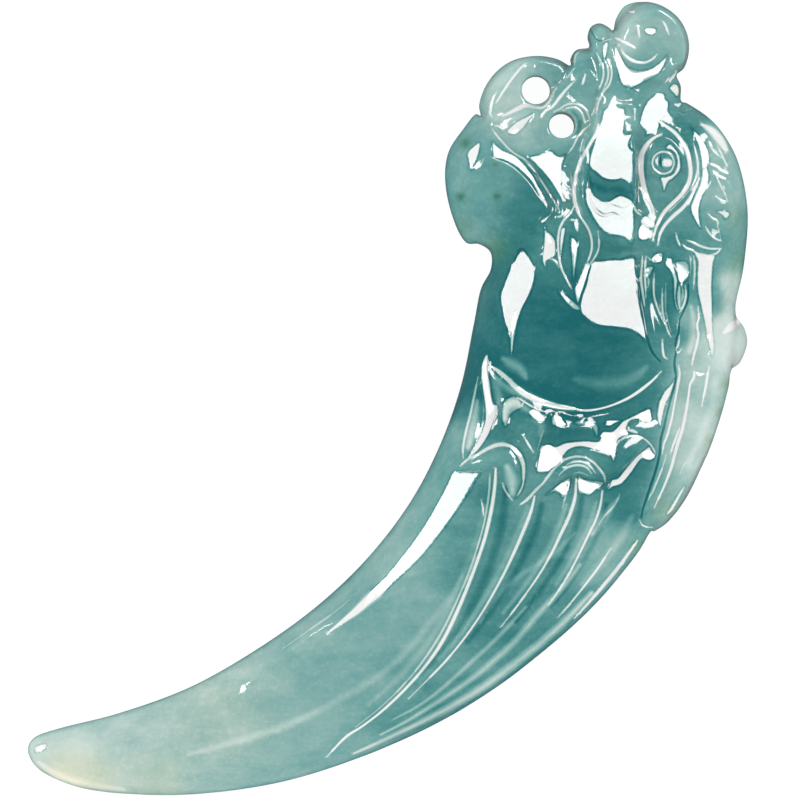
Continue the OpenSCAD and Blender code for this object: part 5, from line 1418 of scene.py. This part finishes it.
# Where the stone turns olive: X, Y, how much, how far it reaches, how much deeper it is
warmMarks = [
    (5.1, 14.1, 0.9, 0.35, 0.35), (7.6, 14.05, 0.9, 0.28, 0.3), (7.5, 16.3, 0.7, 0.22, 0.15),
    (5.4, 17.8, 0.8, 0.4, 0.3), (13.5, 19.0, 0.4, 0.4, 0.1), (7.7, 10.4, 0.7, 0.9, 0),
    (24.6, 9.5, 0.5, 0.9, 0), (24.4, 12.5, 0.35, 1.0, 0), (23.7, 1.0, 0.6, 0.4, 0.2),
    (23.3, -1.0, 0.6, 0.4, 0.2), (22.6, -3.0, 0.5, 0.4, 0.2), (20.5, 21.4, 0.9, 0.25, 0),
    (-23.0, -26.2, 0.4, 1.6, 0), (-20.5, -26.6, 0.4, 1.8, 0), (-16.0, -27.0, 0.3, 2.0, 0),
    (-12.0, -22.0, 0.15, 3.5, 0), (17.6, -10.4, 0.5, 0.7, 0), (19.2, -7.6, 0.4, 0.8, 0),
    (5.0, 12.0, 0.4, 0.8, 0.1),
]

paintSetup = {  # distances in mm, unless it says half widths; amounts in tones
    "markTail": 0.02,  # how much a tone mark still counts far away
    "quietLean": 8,  # a facet that leans less, or away, only keeps the stone flat and isn't drawn
    "outlineWidth": 0.16,  # the thin painted shade line just outside where a cut ends
    "outlineDepth": 0.25,
    "highlightInset": 0.08,  # from a small cut's edge to where its painted highlight is palest
    # painted shade: the stone darkens within rimReach of its outline
    "rimDepth": 0.35,
    "rimReach": 0.12,
    "palest": 1.55,  # painted highlight on a stroke's middle, times its own paler value; painted shade where that value is below 0
    "paleEnd": 1.12,  # half widths
    "paleFade": 0.4,  # half widths
    "besideDepth": 0.16,  # the painted shade line on both sides of a pale stroke, lighter beside a dark one
    "besideEnd": 1.8,  # half widths
    "besideFade": 0.7,  # half widths
}


def spotAt(points, x, y, reach):
    return np.exp(-((points[:, 0] - x) ** 2 + (points[:, 1] - y) ** 2) / reach ** 2)


def markedTone(points, v):  # each mark's tone, shared out by how near it is
    total, weight = np.zeros(len(points)), np.zeros(len(points))
    for x, y, tone, reach in toneMarks:
        d2 = ((points[:, 0] - x) ** 2 + (points[:, 1] - y) ** 2) / reach ** 2
        w = np.exp(-0.5 * d2) + v["markTail"] / (1 + d2) ** 2
        total += w * tone
        weight += w
    return total / weight


# the tone on each point: the marks' own colour, with painted highlights and painted shade laid over it
def toneAt(points, rimFar, v):
    tones = markedTone(points, v)
    for x, y, _, reach, deeper in warmMarks:
        tones -= deeper * spotAt(points, x, y, reach)
    for edge, _, lean, _, *paler in facets.values():
        if lean < v["quietLean"]:
            continue
        loop = softLoop(edge)
        # painted shade: a thin darker line just outside each leaning cut
        pick = near(points, loop, v["outlineWidth"])
        far, _ = nearestOn(points[pick], closedPath(loop))
        outside = 1.0 - insideLoop(points[pick], loop)
        tones[pick] -= v["outlineDepth"] * outside * (1 - ease(far / v["outlineWidth"]))
        # painted highlight: a small cut's paler value whitens its face where its lamp reflection falls short
        if paler:
            tones[pick] += paler[0] * (1 - outside) * ease(far / v["highlightInset"])
    # the swells' paler and deeper tone, painted light and shade where their table says so
    for rows, _, paler in swells.values():
        pick, out, _ = strokeShape(points, rows)
        tones[pick] += paler * hump(out)
    # painted shade along the outline
    tones -= v["rimDepth"] * np.exp(-rimFar / v["rimReach"])
    # painted highlights along the strokes, painted shade beside them, and the reverse for the dark strokes
    for rows, _, paler in strokes.values():
        pick, out, _ = strokeShape(points, rows, v["besideEnd"])
        pale = ease((v["paleEnd"] - out) / v["paleFade"])
        beside = ease((v["besideEnd"] - out) / v["besideFade"])
        tones[pick] += paler * v["palest"] * pale - v["besideDepth"] * np.sign(paler) * beside
    return tones


def warmthAt(points):
    warmth = np.zeros(len(points))
    for x, y, share, reach, _ in warmMarks:
        warmth += share * spotAt(points, x, y, reach)
    return np.clip(warmth, 0, 1)


jadeTones = [  # tone, red, green, blue
    (0.0, 0.005, 0.152, 0.168), (0.25, 0.052, 0.252, 0.252), (0.5, 0.165, 0.402, 0.388),
    (0.75, 0.345, 0.548, 0.515), (1.0, 0.600, 0.740, 0.695), (1.5, 0.970, 0.980, 0.965),
]
ramped = 1.5  # the tone at the ramp's end, near white, which the painted highlights reach
jadeSetup = {
    "index": 1.66,
    "glow": 0.5,
    "glowDepth": 0.8,  # mm
    "glowReach": (0.5, 1.0, 1.0),  # share of that depth for red, green and blue
    "grainTurn": -42,  # degrees, along the tusk
    "grainStretch": (0.35, 1, 1),
    # each noise inside the stone: scale, detail and roughness
    "cloud": (190, 4, 0.6),  # about 5 mm across
    "fibre": (750, 5, 0.65),
    "cotton": (3200, 3, 0.7),
    # the span of each noise, then the tones that its ends add
    "cloudShift": (0.3, 0.7, -0.11, 0.11),
    "fibreShift": (0.3, 0.7, -0.08, 0.08),
    "cottonShift": (0.5, 0.75, 0, 0.1),
    "gloss": (0.35, 0.75, 0.04, 0.12),  # span of the fibre, then the roughness at its ends
    "ripple": 0.000004,  # m, the polish's slight waves
    "warmShift": (1.35, 1.04, 0.70),
}


def noise(nodes, links, place, scale, detail, roughness):
    texture = nodes.new("ShaderNodeTexNoise")
    texture.inputs["Scale"].default_value = scale
    texture.inputs["Detail"].default_value = detail
    texture.inputs["Roughness"].default_value = roughness
    links.new(place, texture.inputs["Vector"])
    return texture.outputs["Fac"]


def spread(nodes, links, value, low, high, outLow, outHigh):
    level = nodes.new("ShaderNodeMapRange")
    level.inputs["From Min"].default_value = low
    level.inputs["From Max"].default_value = high
    level.inputs["To Min"].default_value = outLow
    level.inputs["To Max"].default_value = outHigh
    links.new(value, level.inputs["Value"])
    return level.outputs["Result"]


def added(nodes, links, *values):
    total = values[0]
    for value in values[1:]:
        step = nodes.new("ShaderNodeMath")
        links.new(total, step.inputs[0])
        links.new(value, step.inputs[1])
        total = step.outputs["Value"]
    return total


def toneRamp(nodes):
    ramp = nodes.new("ShaderNodeValToRGB")
    stops = ramp.color_ramp.elements
    for k, (at, red, green, blue) in enumerate(jadeTones):
        stop = stops[k] if k < 2 else stops.new(at / ramped)
        stop.position = at / ramped
        stop.color = (red, green, blue, 1)
    return ramp


def jadeGroup(v):  # the stone's colour, gloss and slight waves from its tone, which holds painted highlights and shade as well as its own colour
    group = bpy.data.node_groups.new("jadeStone", "ShaderNodeTree")
    for name in ("Tone", "Warmth"):
        group.interface.new_socket(name, in_out="INPUT", socket_type="NodeSocketFloat")
    group.interface.new_socket("Colour", in_out="OUTPUT", socket_type="NodeSocketColor")
    for name in ("Gloss", "Waves"):
        group.interface.new_socket(name, in_out="OUTPUT", socket_type="NodeSocketFloat")
    nodes, links = group.nodes, group.links
    given, result = nodes.new("NodeGroupInput"), nodes.new("NodeGroupOutput")
    place = nodes.new("ShaderNodeTexCoord").outputs["Object"]
    grain = nodes.new("ShaderNodeMapping")
    grain.inputs["Rotation"].default_value = (0, 0, math.radians(v["grainTurn"]))
    grain.inputs["Scale"].default_value = v["grainStretch"]
    links.new(place, grain.inputs["Vector"])
    cloud = noise(nodes, links, place, *v["cloud"])
    fibre = noise(nodes, links, grain.outputs["Vector"], *v["fibre"])
    cotton = noise(nodes, links, place, *v["cotton"])
    shifts = []
    for value, row in ((cloud, v["cloudShift"]), (fibre, v["fibreShift"]), (cotton, v["cottonShift"])):
        low, high, deeper, paler = row
        shifts.append(spread(nodes, links, value, low, high, deeper / ramped, paler / ramped))
    tone = added(nodes, links, given.outputs["Tone"], *shifts)
    ramp = toneRamp(nodes)
    links.new(tone, ramp.inputs["Fac"])
    warm = nodes.new("ShaderNodeMix")
    warm.data_type = "RGBA"
    warm.blend_type = "MULTIPLY"
    warm.inputs["B"].default_value = (*v["warmShift"], 1)
    links.new(given.outputs["Warmth"], warm.inputs["Factor"])
    links.new(ramp.outputs["Color"], warm.inputs["A"])
    links.new(warm.outputs["Result"], result.inputs["Colour"])
    links.new(spread(nodes, links, fibre, *v["gloss"]), result.inputs["Gloss"])
    links.new(cloud, result.inputs["Waves"])
    return group


def jadeMaterial(v):
    material = bpy.data.materials.new("polishedJade")
    material.use_nodes = True
    nodes, links = material.node_tree.nodes, material.node_tree.links
    shader = nodes["Principled BSDF"]
    shader.inputs["IOR"].default_value = v["index"]
    shader.inputs["Subsurface Weight"].default_value = v["glow"]
    shader.inputs["Subsurface Radius"].default_value = v["glowReach"]
    shader.inputs["Subsurface Scale"].default_value = v["glowDepth"] * mm
    stoneGroup = nodes.new("ShaderNodeGroup")
    stoneGroup.node_tree = jadeGroup(v)
    for socket, name in (("Tone", "tone"), ("Warmth", "warmth")):
        own = nodes.new("ShaderNodeAttribute")
        own.attribute_name = name
        links.new(own.outputs["Fac"], stoneGroup.inputs[socket])
    bump = nodes.new("ShaderNodeBump")
    bump.inputs["Distance"].default_value = v["ripple"]
    links.new(stoneGroup.outputs["Waves"], bump.inputs["Height"])
    links.new(stoneGroup.outputs["Colour"], shader.inputs["Base Color"])
    links.new(stoneGroup.outputs["Gloss"], shader.inputs["Roughness"])
    links.new(bump.outputs["Normal"], shader.inputs["Normal"])
    return material


def paintTone(piece):
    places = np.empty(len(piece.data.vertices) * 3)
    piece.data.vertices.foreach_get("co", places)
    places = places.reshape(-1, 3)[:, :2] / mm
    rimFar, _ = nearestOn(places, closedPath(stoneEdge(stone)))
    tones = toneAt(places, rimFar, paintSetup) / ramped
    for name, values in (("tone", tones), ("warmth", warmthAt(places))):
        layer = piece.data.attributes.new(name, "FLOAT", "POINT")
        layer.data.foreach_set("value", values)


pendant = makeStone(stone)
paintTone(pendant)
pendant.data.materials.append(jadeMaterial(jadeSetup))
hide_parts("carved_pendant")
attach(pendant, "root")
print("stone carved:", len(pendant.data.polygons), "faces")

floorSetup = {
    "size": 3.0,  # m
    "drop": 0.00003,  # m
    "tone": (0.1, 0.1, 0.1, 1),
    "matt": 0.8,
    "shine": 0.95,
}


def addFloor(v):
    bpy.ops.object.select_all(action="DESELECT")
    bpy.ops.mesh.primitive_plane_add(size=v["size"], location=(0, 0, 0))
    floor = bpy.context.object
    floor.name = "paleTable"
    for corner in floor.data.vertices:
        corner.co.z = -v["drop"]
    paint = bpy.data.materials.new("palePaper")
    paint.use_nodes = True
    shader = paint.node_tree.nodes["Principled BSDF"]
    shader.inputs["Base Color"].default_value = v["tone"]
    shader.inputs["Roughness"].default_value = v["matt"]
    shader.inputs["Emission Color"].default_value = (1, 1, 1, 1)
    shader.inputs["Emission Strength"].default_value = v["shine"]
    floor.data.materials.append(paint)
    floor.visible_glossy = False


addFloor(floorSetup)
print("table added")
